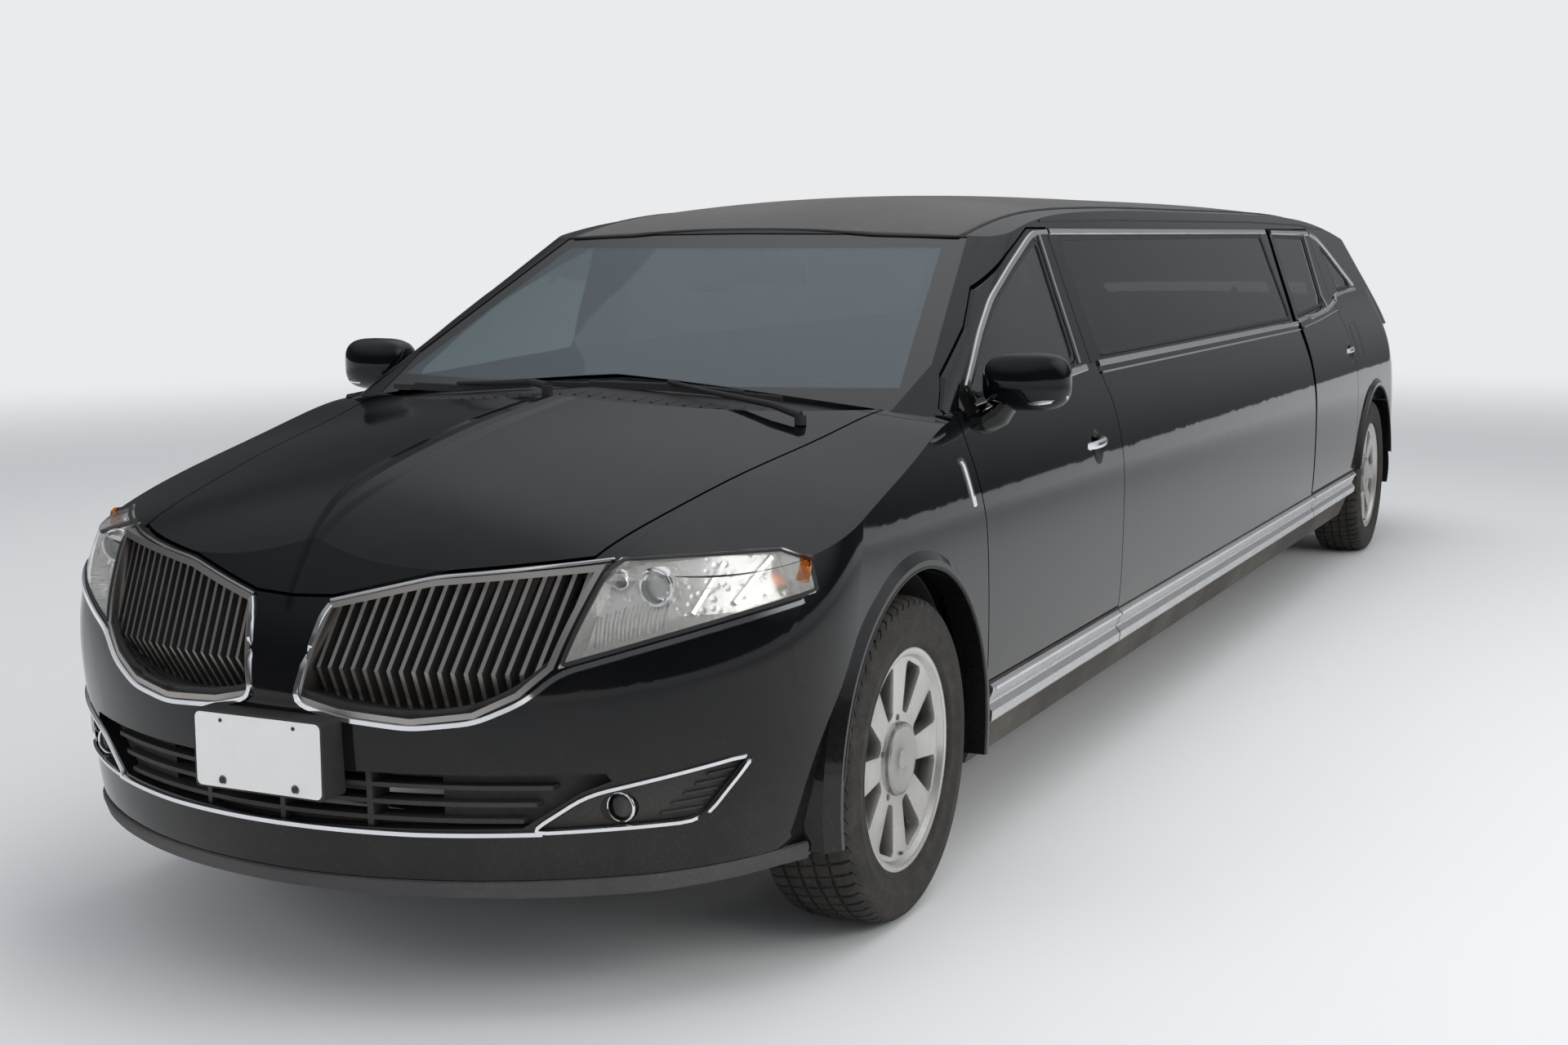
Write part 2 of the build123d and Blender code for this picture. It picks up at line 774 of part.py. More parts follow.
write(fog_lamps, "fog_lamps")

# Number plate bracket with the plate's four screw holes
plate_width = 316.0
plate_low_z = 458.0
plate_high_z = 616.0
plate_corner = 10.0
plate_hole_radius = 3.2
plate_hole_depth = 14.0
plate_hole_spacing = (178.0, 121.0)
plate_middle_z = (plate_low_z + plate_high_z) / 2
plate_face = Plane(origin=(front(front_reach), 0, plate_middle_z), x_dir=(0, 1, 0), z_dir=(1, 0, 0))
with BuildPart() as plate_bracket:
    with BuildSketch(plate_face) as plate_outline:
        Rectangle(plate_width, plate_high_z - plate_low_z)
        fillet(plate_outline.vertices(), plate_corner)
    extrude(amount=-130)
    cut(lower_full)
    with Locations(plate_face):
        with GridLocations(*plate_hole_spacing, 2, 2):
            Hole(plate_hole_radius, depth=plate_hole_depth)
write(plate_bracket, "plate_bracket")

# Windscreen
screen_outline = mirrored_outline(screen_points)
screen_cut = front_prism(screen_outline, front(-1300), front(-50))
screen_limit = front_prism(screen_outline, front(-1300), front(-50), grow=-fit)
with BuildPart() as windscreen:
    add(glass_layer)
    keep(screen_limit)
    cut(front_body, belt_body)
write(windscreen, "windscreen")

# Roof with the windscreen pillars and the two pads of the tailgate's hinges
roof_side_points = [
    (front(-60), 1060), (front(-60), top_z), (tail_split_x + gap, top_z), (tail_split_x + gap, roof_split_z),
    (front(-1428), roof_split_z), (front(-1185), 1490), (front(-937), 1404), (front(-763), 1308),
    (front(-540), 1200), (front(-418), 1124), (front(-400), 1060),
]
roof_tail_y = 618.0
roof_tail_front_x = rear(150)
roof_tail = box(tail_split_x + gap, roof_tail_front_x, -roof_tail_y, roof_tail_y, 1400, top_z)
roof_limits = side_prism(roof_side_points) + roof_tail
tailgate_pads = [box(tail_split_x + fit, tail_split_x + 40, y - 45, y + 45, 1480, 1536) for y in (-360, 360)]
with BuildPart() as roof:
    add(cabin_shell)
    keep(roof_limits)
    cut(screen_cut, front_door_cut, rear_door_cut)
    drop_crumbs(roof)
    add(tailgate_pads)
write(roof, "roof")

# Lengthened sides, each with the pads of the rear door's two hinges
panel_low_z = sill_top_z + seam / 2
panel_high_z = roof_split_z - seam / 2
stretch_limits = box(rear(-1500), front(-1600), 1, far_y, panel_low_z, panel_high_z)
stretch_window = window_prism(stretch_window_points)
rear_hinge_limit = door_prism(rear_door_points, fit)
rear_hinges = [
    box(rear(-1500), rear(-1440), 868, 912, z, z + hinge_height) - rear_hinge_limit for z in hinge_heights
]
with BuildPart() as side_panel:
    add(side_shell)
    keep(stretch_limits)
    cut(front_door_cut, rear_door_cut, stretch_window)
    drop_crumbs(side_panel)
    add(rear_hinges)
write_pair(side_panel, "side_panel")

# Rear quarters
tail_lamp_low_z = 985.0
tail_lamp_high_z = 1068.0
tail_lamp_depth = 40.0
tail_lamp_end_x = rear(700)
quarter_limits = box(tail_x, rear(-640), 1, far_y, panel_low_z, panel_high_z)
rear_lip_band = rear_lips & box(rear(600), rear(-600), -1000, 1000, arch_low_z, 900)
tail_slot = (plan_loft(lower_rows, -2) - body_inside(tail_lamp_depth + fit)) & box(
    tail_x, tail_lamp_end_x, -1000, 1000, tail_lamp_low_z, tail_lamp_high_z)
quarter_cuts = [
    rear_door_cut,
    window_prism(quarter_window_points),
    tailgate_block(gap),
    box(tail_x, rear(470), 0, far_y, 200, rear_bumper_top_z),
    tail_slot,
    box(tail_split_x, roof_tail_front_x + seam, 0, roof_tail_y + seam, 1400, top_z),
    left_wells[1],
]
with BuildPart() as quarter_panel:
    add(side_shell)
    add(rear_lip_band)
    keep(quarter_limits)
    cut(*quarter_cuts)
    drop_crumbs(quarter_panel)
write_pair(quarter_panel, "quarter_panel")

# Fixed side glass
for points, name in ((stretch_window_points, "stretch_glass"), (quarter_window_points, "quarter_glass")):
    pane_limit = window_prism(points, -fit)
    with BuildPart() as pane:
        add(glass_layer)
        keep(pane_limit)
        cut(belt_body)
    with BuildPart() as pane_pair:
        add(pane.part)
        add(pane.part.mirror(Plane.XZ))
    write(pane_pair, name)

# Doors and their glass
handle_cup_radius = 78.0
handle_cup_depth = 16.0
# name, outline, window, distance of the handle from the front axle backwards, its height
door_table = (
    ("front_door", front_door_points, front_window_points, 1422, 953),
    ("rear_door", rear_door_points, rear_window_points, 5475, 1008),
)
for name, outline, window, handle_back, handle_z in door_table:
    door_limit = door_prism(outline, 0)
    window_hole = window_prism(window)
    pane_limit = window_prism(window, -fit)
    cup_place = (front(-handle_back), surface_y(handle_z) + handle_cup_radius - handle_cup_depth, handle_z)
    with BuildPart() as door:
        add(side_shell)
        keep(door_limit)
        cut(window_hole, left_wells[1])
        with Locations(cup_place):
            Sphere(handle_cup_radius, mode=Mode.SUBTRACT)
    write_pair(door, name)
    with BuildPart() as door_glass:
        add(glass_layer)
        keep(pane_limit)
        cut(belt_body)
    write_pair(door_glass, name + "_glass")

# Tailgate and its glass
tailgate_limit = tailgate_block(0)
rear_glass_outline = mirrored_outline(rear_glass_points)
rear_window = front_prism(rear_glass_outline, rear(1300), rear(400))
rear_glass_limit = front_prism(rear_glass_outline, rear(1300), rear(400), grow=-fit)
under_tailgate = box(tail_x, rear(300), -far_y, far_y, 200, rear_bumper_top_z + gap)
with BuildPart() as tailgate:
    add(side_shell)
    keep(tailgate_limit)
    cut(rear_window, tail_slot, under_tailgate)
    drop_crumbs(tailgate)
write(tailgate, "tailgate")
with BuildPart() as rear_glass:
    add(glass_layer)
    keep(rear_glass_limit)
    cut(belt_body)
write(rear_glass, "rear_glass")

# Tail lamps: the band across the tailgate and the lamps beside it
tail_layer = plan_loft(lower_rows, -1) - body_inside(tail_lamp_depth)
band_half_width = 738.0
outer_lamp_y = 758.0
lamp_low_z = tail_lamp_low_z + fit
lamp_high_z = tail_lamp_high_z - fit
band_limits = box(tail_x, rear(900), -band_half_width, band_half_width, lamp_low_z, lamp_high_z)
outer_limits = both_sides(box(tail_x, tail_lamp_end_x - fit, outer_lamp_y, 1000, lamp_low_z, lamp_high_z))
for limits, name in ((band_limits, "tail_lamp_band"), (outer_limits, "tail_lamps")):
    with BuildPart() as tail_lamp:
        add(tail_layer)
        keep(limits)
        drop_crumbs(tail_lamp)
    write(tail_lamp, name)

# Rear bumper
rear_bumper_limits = box(tail_x, rear(470) - seam, -far_y, far_y, underside_z + 4, rear_bumper_top_z - seam)
bumper_inside = body_inside(bumper_wall)
with BuildPart() as rear_bumper:
    add(lower_full)
    add(rear_lip_band)
    keep(rear_bumper_limits)
    cut(bumper_inside, *wells)
    drop_crumbs(rear_bumper)
write(rear_bumper, "rear_bumper")

# Floor between the sills, with its forward and rear ends between the wheel houses
house_inner_y = well_inner_y - house_wall
between_houses_y = house_inner_y - fit
floor_front_x = sill_front_x
floor_rear_x = rear(-500)
cabin_floor = box(floor_rear_x, floor_front_x, -1000, 1000, underside_z, cabin_floor_z)
toe_floor = box(
    floor_front_x - 1, front(-388), -between_houses_y, between_houses_y, front_floor_z, cabin_floor_z)
rear_floor = body_inside(bumper_wall + fit) & box(
    rear(1200), floor_rear_x + 1, -between_houses_y, between_houses_y, front_floor_z, cabin_floor_z)
jack_pad_size = (140.0, 60.0)
jack_pad_corner = 10.0
jack_pad_depth = 12.0
jack_places = [(x, y) for x in (front(-700), rear(-700)) for y in (800, -800)]
with BuildPart() as floor_pan:
    add(belt_body)
    keep(cabin_floor)
    add([toe_floor, rear_floor])
    # Jacking pads under its edges
    with BuildSketch(Plane.XY.offset(underside_z - jack_pad_depth)):
        with Locations(*jack_places):
            RectangleRounded(*jack_pad_size, jack_pad_corner)
    extrude(amount=jack_pad_depth + 5)
write(floor_pan, "floor_pan")

# Sills on the floor's edges
sill_limits = both_sides(box(floor_rear_x, floor_front_x, 500, 1000, cabin_floor_z + fit, sill_top_z))
with BuildPart() as sills:
    add(belt_body)
    keep(sill_limits)
    cut(door_inside)
write(sills, "sills")

# Firewall on the forward floor, notched round the wheel houses
firewall_limits = box(front(-450), front(-430), -840, 840, cabin_floor_z + fit, 1060)
firewall_form = body_inside(door_wall + gap)
house_clear = both_sides(round_bar(arch_radius + house_wall + fit, front_axle_x, between_houses_y, 1000))
with BuildPart() as firewall:
    add(firewall_form)
    keep(firewall_limits)
    cut(house_clear)
    drop_crumbs(firewall)
write(firewall, "firewall")

# Wheel houses, open below, each with its inner wall
with BuildPart() as wheel_houses:
    for x, wall in ((front_axle_x, skin_wall), (rear_axle_x, door_wall)):
        liner = round_bar(arch_radius + house_wall, x, house_inner_y, 870) & body_inside(wall + fit)
        liner = liner - round_bar(arch_radius, x, well_inner_y, 1000)
        liner = liner - box(x - 600, x + 600, 0, 1000, -200, front_floor_z)
        add([liner, liner.mirror(Plane.XZ)])
write(wheel_houses, "wheel_houses")

# Rocker mouldings: three lengths a side, seated on the sill
moulding_profile = [
    (880, 440), (944, 440), (952, 432), (951, 424), (938, 392), (938, 386), (950, 372), (948, 348),
    (932, 334), (880, 334),
]
moulding_spans = [(front(-1634), front(-512)), (rear(-1476), front(-1642)), (rear(-500), rear(-1468))]
with BuildPart() as moulding_left:
    for x_low, x_high in moulding_spans:
        with BuildSketch(Plane.YZ.offset(x_low)):
            with BuildLine():
                Polyline(*moulding_profile, close=True)
            make_face()
        extrude(amount=x_high - x_low)
    cut(lower_full, *left_wells)
    drop_crumbs(moulding_left)
with BuildPart() as rocker_mouldings:
    add(moulding_left.part)
    add(moulding_left.part.mirror(Plane.XZ))
write(rocker_mouldings, "rocker_mouldings")

# Door mirrors: a cap that narrows forwards, on an arm from the door
mirror_x = front(-660)
mirror_y = 980.0
mirror_z = 1178.0
# distance ahead of the cap's middle, width, height, corner radius, shift towards the car
mirror_sections = [
    (-60, 206, 140, 44, 0), (-40, 212, 146, 46, 0), (0, 204, 136, 44, 2), (45, 168, 104, 36, 10),
    (70, 120, 66, 26, 20),
]
arm_points = [(mirror_x - 40, 940), (mirror_x + 50, 940), (mirror_x + 110, 840), (mirror_x + 20, 840)]
with BuildPart() as mirror:
    for ahead, width, height, corner, shift in mirror_sections:
        with BuildSketch(Plane.YZ.offset(mirror_x + ahead)):
            with Locations((mirror_y - shift, mirror_z)):
                RectangleRounded(width, height, corner)
    loft(ruled=True)
    with BuildSketch(Plane.XY.offset(mirror_z - 122)):
        with BuildLine():
            Polyline(*arm_points, close=True)
        make_face()
    extrude(amount=62)
    cut(belt_body, cabin_body)
write_pair(mirror, "mirror")

# Wheel, drawn flat with its outer face up: rim, dished face with pockets, and the hub cap
hub_bore = 34.0
hub_back = 34.0
bore_end = 62.0
cap_face = 88.0
rim_profile = [
    (rim_radius, -rim_half_width), (rim_radius, rim_half_width), (rim_radius - 14, rim_half_width),
    (rim_radius - 26, rim_half_width - 20), (rim_radius - 32, -rim_half_width + 36),
    (rim_radius - 16, -rim_half_width),
]
face_profile = [
    (hub_bore, hub_back), (hub_bore, bore_end), (0, bore_end), (0, cap_face), (hub_cap_radius - 6, cap_face),
    (hub_cap_radius, cap_face - 8), (hub_cap_radius, 76), (rim_radius - 18, 84), (rim_radius - 18, 52),
    (hub_cap_radius + 8, hub_back),
]
pocket_inner_r = 106.0
pocket_outer_r = 219.0
pocket_inner_half = 14.0
pocket_outer_half = 47.0
pocket_corner = 12.0
with BuildPart() as wheel_blank:
    with BuildSketch(Plane.XZ):
        for profile in (rim_profile, face_profile):
            with BuildLine():
                Polyline(*profile, close=True)
            make_face()
    revolve(axis=Axis.Z)
    with BuildSketch() as pockets:
        with PolarLocations(0, spoke_count, start_angle=180 / spoke_count):
            Polygon(
                (pocket_inner_r, -pocket_inner_half),
                (pocket_outer_r, -pocket_outer_half),
                (pocket_outer_r, pocket_outer_half),
                (pocket_inner_r, pocket_inner_half),
                align=None,
            )
        fillet(pockets.vertices(), pocket_corner)
    extrude(amount=120, mode=Mode.SUBTRACT)

# Tyre, drawn likewise
tyre_half_profile = [
    (rim_radius + fit, rim_half_width + 4), (300, tyre_width / 2), (358, 104), (tyre_radius, 82),
]
with BuildPart() as tyre_blank:
    with BuildSketch(Plane.XZ):
        with BuildLine():
            Polyline(*tyre_half_profile, *[(r, -h) for r, h in reversed(tyre_half_profile)], close=True)
        make_face()
    revolve(axis=Axis.Z)

wheel_table = (
    ("front_left", front_axle_x, 1), ("front_right", front_axle_x, -1),
    ("rear_left", rear_axle_x, 1), ("rear_right", rear_axle_x, -1),
)
for name, x, side in wheel_table:
    hub_centre = (x, side * wheel_centre_y, tyre_radius)
    stood = Plane(origin=hub_centre, x_dir=(1, 0, 0), z_dir=(0, side, 0)).location
    with BuildPart() as wheel:
        add(stood * wheel_blank.part)
    write(wheel, "wheel_" + name)
    with BuildPart() as tyre:
        add(stood * tyre_blank.part)
    write(tyre, "tyre_" + name)

# Hub carrier, brake disc and stub axle of a left wheel
disc_y = 790.0
# radius, y of the inner face, y of the outer face
hub_layers = (
    (62, disc_y - 90, disc_y),
    (160, disc_y, disc_y + 26),
    (hub_bore - fit, disc_y + 26, wheel_centre_y + bore_end - 0.5),
)

# Front knuckle: the hub and the strut turn about the leaning steering axis
steer_y = 742.0
steer_lean = radians(12)
ball_radius = 22.0
strut_radius = 28.0
strut_top_z = 790.0
arm_top_z = 240.0
ball_z = arm_top_z + fit + ball_radius * sin(steer_lean)


def across_steering(z):
    """A plane square to the left steering axis, where that axis is at this height."""
    middle = (front_axle_x, steer_y - (z - tyre_radius) * tan(steer_lean), z)
    return Plane(origin=middle, x_dir=(1, 0, 0), z_dir=(0, -sin(steer_lean), cos(steer_lean)))


# lower end, upper end, radius
steering_posts = ((ball_z, tyre_radius, ball_radius), (tyre_radius, strut_top_z, strut_radius))
with BuildPart() as knuckle:
    for radius, y_low, y_high in hub_layers:
        with BuildSketch(Plane.XZ.offset(-y_low)):
            with Locations((front_axle_x, tyre_radius)):
                Circle(radius)
        extrude(amount=y_low - y_high)
    for z_low, z_high, radius in steering_posts:
        with BuildSketch(across_steering(z_low)):
            Circle(radius)
        extrude(amount=(z_high - z_low) / cos(steer_lean))
write_pair(knuckle, "knuckle")

# Front subframe: two rails, two cross members and a lower arm to each knuckle
arm_thickness = 26.0
arm_end_y = steer_y + (tyre_radius - arm_top_z) * tan(steer_lean)
rail_y = 330.0
rail_half_width = 30.0
with BuildPart() as front_subframe:
    for y in (rail_y, -rail_y):
        with BuildSketch(Plane.YZ.offset(front(-387.7))):
            with Locations((y, (underside_z + cabin_floor_z) / 2)):
                Rectangle(2 * rail_half_width, cabin_floor_z - underside_z)
        extrude(amount=987.7)
    with BuildSketch(Plane.XY.offset(underside_z)):
        for x, length in ((front(0), 300), (front(560), 80)):
            with Locations((x, 0)):
                Rectangle(length, 2 * rail_y)
    extrude(amount=cabin_floor_z - underside_z)
    with BuildSketch(Plane.XY.offset(arm_top_z - arm_thickness)):
        for side in (1, -1):
            with BuildLine():
                Polyline(
                    (front(-130), side * rail_y),
                    (front(-20), side * arm_end_y),
                    (front(20), side * arm_end_y),
                    (front(130), side * rail_y),
                    close=True,
                )
            make_face()
    extrude(amount=arm_thickness)
write(front_subframe, "front_subframe")

# Rear suspension: a beam, an arm and a hub carrier to each wheel
rear_beam_z = (underside_z, 262.0)
rear_arm_z = (222.0, 250.0)
carrier_y = (712.0, 764.0)
with BuildPart() as rear_half:
    with BuildSketch(Plane.XY.offset(rear_beam_z[0])):
        with Locations((rear_axle_x, 220)):
            Rectangle(140, 440)
    extrude(amount=rear_beam_z[1] - rear_beam_z[0])
    with BuildSketch(Plane.XY.offset(rear_arm_z[0])):
        with Locations((rear_axle_x, 590)):
            Rectangle(80, 340)
    extrude(amount=rear_arm_z[1] - rear_arm_z[0])
    with BuildSketch(Plane.XY.offset(rear_arm_z[0])):
        with Locations((rear_axle_x, sum(carrier_y) / 2)):
            Rectangle(60, carrier_y[1] - carrier_y[0])
    extrude(amount=tyre_radius - rear_arm_z[0])
    for radius, y_low, y_high in hub_layers:
        with BuildSketch(Plane.XZ.offset(-y_low)):
            with Locations((rear_axle_x, tyre_radius)):
                Circle(radius)
        extrude(amount=y_low - y_high)
with BuildPart() as rear_suspension:
    add(rear_half.part)
    add(rear_half.part.mirror(Plane.XZ))
write(rear_suspension, "rear_suspension")

# Engine, a plain block on the subframe
with BuildPart() as engine:
    with BuildSketch(Plane.XY.offset(cabin_floor_z)):
        with Locations((front(140), 0)):
            Rectangle(560, 640)
    extrude(amount=560)
    fillet(engine.edges().filter_by(Axis.Z), 40)
write(engine, "engine")

# Exhaust under the floor
pipe_radius = 30.0
pipe_y = 150.0
pipe_z = underside_z - fit - pipe_radius
silencer_width = 260.0
with BuildPart() as exhaust:
    with BuildSketch(Plane.YZ.offset(rear(1175))):
        with Locations((pipe_y, pipe_z)):
            Circle(pipe_radius)
    extrude(amount=rear(-5400) - rear(1175))
    for x_low, length in ((rear(1000), 440), (rear(-2600), 900)):
        with BuildSketch(Plane.YZ.offset(x_low)):
            with Locations((pipe_y, pipe_z)):
                RectangleRounded(silencer_width, 2 * pipe_radius, 24)
        extrude(amount=length)
write(exhaust, "exhaust")

# Dashboard with the steering wheel on its column
dash_points = [
    (front(-450) - fit, 700), (front(-450) - fit, 1040), (front(-560), 1075), (front(-700), 1085),
    (front(-800), 1040), (front(-830), 960), (front(-790), 880), (front(-760), 700),
]
dash_half_width = 690.0
column_lean = radians(25)
steering_wheel_radius = 194.0
steering_rim = 30.0
wheel_plane = Plane(
    origin=(front(-960), 370, 985), x_dir=(0, 1, 0), z_dir=(-cos(column_lean), 0, sin(column_lean)))
with BuildPart() as dashboard:
    with BuildSketch(Plane.XZ.offset(-dash_half_width)):
        with BuildLine():
            Polyline(*dash_points, close=True)
        make_face()
    extrude(amount=2 * dash_half_width)
    with BuildSketch(wheel_plane):
        Circle(62)
        Rectangle(2 * steering_wheel_radius - steering_rim, 30)
    extrude(amount=-24)
    with BuildSketch(wheel_plane):
        Circle(steering_wheel_radius)
        Circle(steering_wheel_radius - steering_rim, mode=Mode.SUBTRACT)
    extrude(amount=-26)
    with BuildSketch(wheel_plane.offset(-20)):
        Circle(34)
    extrude(amount=-170)
write(dashboard, "dashboard")

# Seats: cushion and back in one outline, two in front and a bench behind
seat_profile = [
    (0, 0), (470, 0), (500, 110), (490, 240), (40, 200), (-90, 700), (-110, 900), (-190, 910), (-210, 700),
    (-140, 60),
]
seat_table = ((front(-1480), 375, 490), (front(-1480), -375, 490), (rear(-420), 0, 940))
with BuildPart() as seats:
    for x, middle_y, width in seat_table:
        with BuildSketch(Plane.XZ.offset(-middle_y + width / 2)):
            with BuildLine():
                Polyline(*[(x + dx, cabin_floor_z + dz) for dx, dz in seat_profile], close=True)
            make_face()
        extrude(amount=-width)
write(seats, "seats")
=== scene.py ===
"""Stretch limousine: finishes, trim, lamps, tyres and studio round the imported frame."""

import json
import math

import bmesh
import bpy
from bpy.props import FloatProperty, FloatVectorProperty, PointerProperty
from mathutils import Matrix, Vector
from mathutils.bvhtree import BVHTree


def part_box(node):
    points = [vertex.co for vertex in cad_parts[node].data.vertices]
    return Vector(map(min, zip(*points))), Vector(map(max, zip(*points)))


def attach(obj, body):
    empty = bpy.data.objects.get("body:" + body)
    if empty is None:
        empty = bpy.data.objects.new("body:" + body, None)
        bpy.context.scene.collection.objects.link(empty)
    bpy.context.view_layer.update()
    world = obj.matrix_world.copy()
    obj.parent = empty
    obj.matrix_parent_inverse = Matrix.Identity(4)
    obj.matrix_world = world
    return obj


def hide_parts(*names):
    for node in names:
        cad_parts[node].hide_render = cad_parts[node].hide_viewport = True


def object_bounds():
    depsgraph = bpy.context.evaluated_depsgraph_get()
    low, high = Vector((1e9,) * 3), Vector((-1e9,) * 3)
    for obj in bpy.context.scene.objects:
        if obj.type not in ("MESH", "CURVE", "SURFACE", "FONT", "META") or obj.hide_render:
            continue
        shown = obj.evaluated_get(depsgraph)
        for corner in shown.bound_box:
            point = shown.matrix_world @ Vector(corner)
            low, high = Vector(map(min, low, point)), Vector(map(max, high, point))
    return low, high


bl_info = {
    "name": "Stretch Limousine Dressing",
    "version": (1, 0, 0),
    "blender": (4, 5, 0),
    "location": "3D View > Sidebar > Limousine",
    "description": "Dresses the stretch limousine's frame with finishes, trim, lamps and tyres",
    "category": "Object",
}

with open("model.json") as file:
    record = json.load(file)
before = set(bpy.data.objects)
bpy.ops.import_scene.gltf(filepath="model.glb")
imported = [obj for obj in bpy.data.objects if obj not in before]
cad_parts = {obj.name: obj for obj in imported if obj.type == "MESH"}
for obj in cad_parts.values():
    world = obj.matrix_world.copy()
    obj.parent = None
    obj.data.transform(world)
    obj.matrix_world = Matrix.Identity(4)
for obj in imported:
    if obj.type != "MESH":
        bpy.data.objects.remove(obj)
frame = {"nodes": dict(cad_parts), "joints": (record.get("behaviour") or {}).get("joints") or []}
CAD_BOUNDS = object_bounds()
NODES = frame["nodes"]
JOINTS = {joint["name"]: joint for joint in frame["joints"]}

FRONT_AXLE = Vector(JOINTS["front_wheel_left_spin"]["pos_m"])
REAR_AXLE = Vector(JOINTS["rear_wheel_left_spin"]["pos_m"])
SIDES = {"left": 1.0, "right": -1.0}

# The ways a viewer looks at the left side, at the nose, at the tail and at the top
INWARDS = Vector((0.0, -1.0, 0.0))
BACKWARDS = Vector((-1.0, 0.0, 0.0))
FORWARDS = Vector((1.0, 0.0, 0.0))
DOWNWARDS = Vector((0.0, 0.0, -1.0))

# Where paths are drawn, clear of the car: beside it, ahead of and behind its axles, and above it
BESIDE = 2.0
AHEAD = 1.5
BEHIND = 1.6
ABOVE = 2.2


def front(distance):
    """x of a place this far ahead of the front axle."""
    return FRONT_AXLE.x + distance


def spot(ahead, y, z):
    """A place given from the front axle's middle line."""
    return Vector((front(ahead), y, z))


def both(*names):
    """The names of the left and right nodes of these pairs."""
    return [f"{name}_{side}" for name in names for side in SIDES]


# Shader expressions


class Value:
    """A node's output. Arithmetic on it adds Math nodes."""

    def __init__(self, graph, socket):
        self.graph = graph
        self.socket = socket

    def math(self, operation, *operands):
        return self.graph.node("ShaderNodeMath", {"operation": operation}, dict(enumerate(operands)))

    def __add__(self, other):
        return self.math("ADD", self, other)

    def __radd__(self, other):
        return self.math("ADD", other, self)

    def __sub__(self, other):
        return self.math("SUBTRACT", self, other)

    def __rsub__(self, other):
        return self.math("SUBTRACT", other, self)

    def __mul__(self, other):
        return self.math("MULTIPLY", self, other)

    def __rmul__(self, other):
        return self.math("MULTIPLY", other, self)

    def __abs__(self):
        return self.math("ABSOLUTE", self)

    def largest(self, other):
        return self.math("MAXIMUM", self, other)

    def power(self, exponent):
        return self.math("POWER", self, exponent)

    def ease(self, low, high, to_low=0.0, to_high=1.0):
        """A smooth step from one value to another between two limits."""
        inputs = {"Value": self, "From Min": low, "From Max": high, "To Min": to_low, "To Max": to_high}
        return self.graph.node("ShaderNodeMapRange", {"interpolation_type": "SMOOTHSTEP"}, inputs)


class Graph:
    """The node tree of a material or of the world."""

    def __init__(self, owner):
        owner.use_nodes = True
        self.owner = owner
        self.tree = owner.node_tree
        self.tree.nodes.clear()

    def node(self, kind, settings=None, inputs=None, output=0):
        node = self.tree.nodes.new(kind)
        for key, value in (settings or {}).items():
            setattr(node, key, value)
        for key, value in (inputs or {}).items():
            if isinstance(value, Value):
                self.tree.links.new(value.socket, node.inputs[key])
            else:
                node.inputs[key].default_value = value
        return Value(self, node.outputs[output]) if node.outputs else None

    def blend(self, factor, first, second):
        return self.node("ShaderNodeMixShader", None, {0: factor, 1: first, 2: second})


class MaterialGraph(Graph):
    """A material's node tree, with places on the object to build patterns from."""

    def __init__(self, name):
        super().__init__(bpy.data.materials.new(name))
        self.place = self.node("ShaderNodeTexCoord", output="Object")
        self.x, self.y, self.z = (self.split(self.place, axis) for axis in "XYZ")

    def split(self, vector, axis):
        return self.node("ShaderNodeSeparateXYZ", None, {0: vector}, axis)

    def face_up(self):
        """How far the surface looks up, from -1 to 1."""
        return self.split(self.node("ShaderNodeNewGeometry", output="Normal"), "Z")

    def noise(self, scale, detail=3.0, roughness=0.5, stretch=None):
        place = self.place
        if stretch:
            place = self.node("ShaderNodeMapping", None, {"Vector": place, "Scale": stretch})
        inputs = {"Vector": place, "Scale": scale, "Detail": detail, "Roughness": roughness}
        return self.node("ShaderNodeTexNoise", None, inputs)

    def cells(self, scale, feature="F1"):
        return self.node("ShaderNodeTexVoronoi", {"feature": feature}, {"Vector": self.place, "Scale": scale})

    def mix(self, factor, first, second):
        # The colour mix has its factor at socket 0, its colours at 6 and 7 and its result at output 2
        return self.node("ShaderNodeMix", {"data_type": "RGBA"}, {0: factor, 6: first, 7: second}, output=2)

    def bump(self, height, strength, distance, below=None):
        inputs = {"Height": height, "Strength": strength, "Distance": distance}
        if below:
            inputs["Normal"] = below
        return self.node("ShaderNodeBump", None, inputs, output="Normal")

    def surface(self, **sockets):
        """The principled shader with its sockets named in lower case and underscores."""
        names = {key: key.replace("_", " ").title().replace("Ior", "IOR") for key in sockets}
        return self.node("ShaderNodeBsdfPrincipled", None, {names[key]: sockets[key] for key in sockets})

    def finish(self, shader):
        self.node("ShaderNodeOutputMaterial", None, {"Surface": shader})
        return self.owner


def rgb(red, green, blue):
    return (red, green, blue, 1.0)


def toned(colour, share, lift=0.0):
    """A lighter or darker tone of a colour."""
    return rgb(*(min(1.0, part * share + lift) for part in colour[:3]))


def road_dust(g, top=0.75, amount=0.35):
    """Dust on the low parts, in drifts."""
    drift = g.noise(3.0, 6.0, 0.65).ease(0.35, 0.75)
    low = g.z.ease(0.2, top, 1.0, 0.0)
    grit = g.noise(160.0, 2.0).ease(0.45, 0.7)
    return (low * (0.35 + 0.65 * drift) * (0.6 + 0.4 * grit)) * amount


def hood_crease(g):
    """The soft edges of the raised spine down the middle of the hood."""
    on_hood = g.x.ease(front(-0.36), front(-0.30)) * g.z.ease(0.80, 0.84)
    half_width = g.x.ease(front(0.62), front(0.965), 0.047, 0.004)
    spine = (abs(g.y) - half_width).ease(-0.016, 0.016, 1.0, 0.0)
    return g.bump(spine * on_hood, 1.0, 0.006)


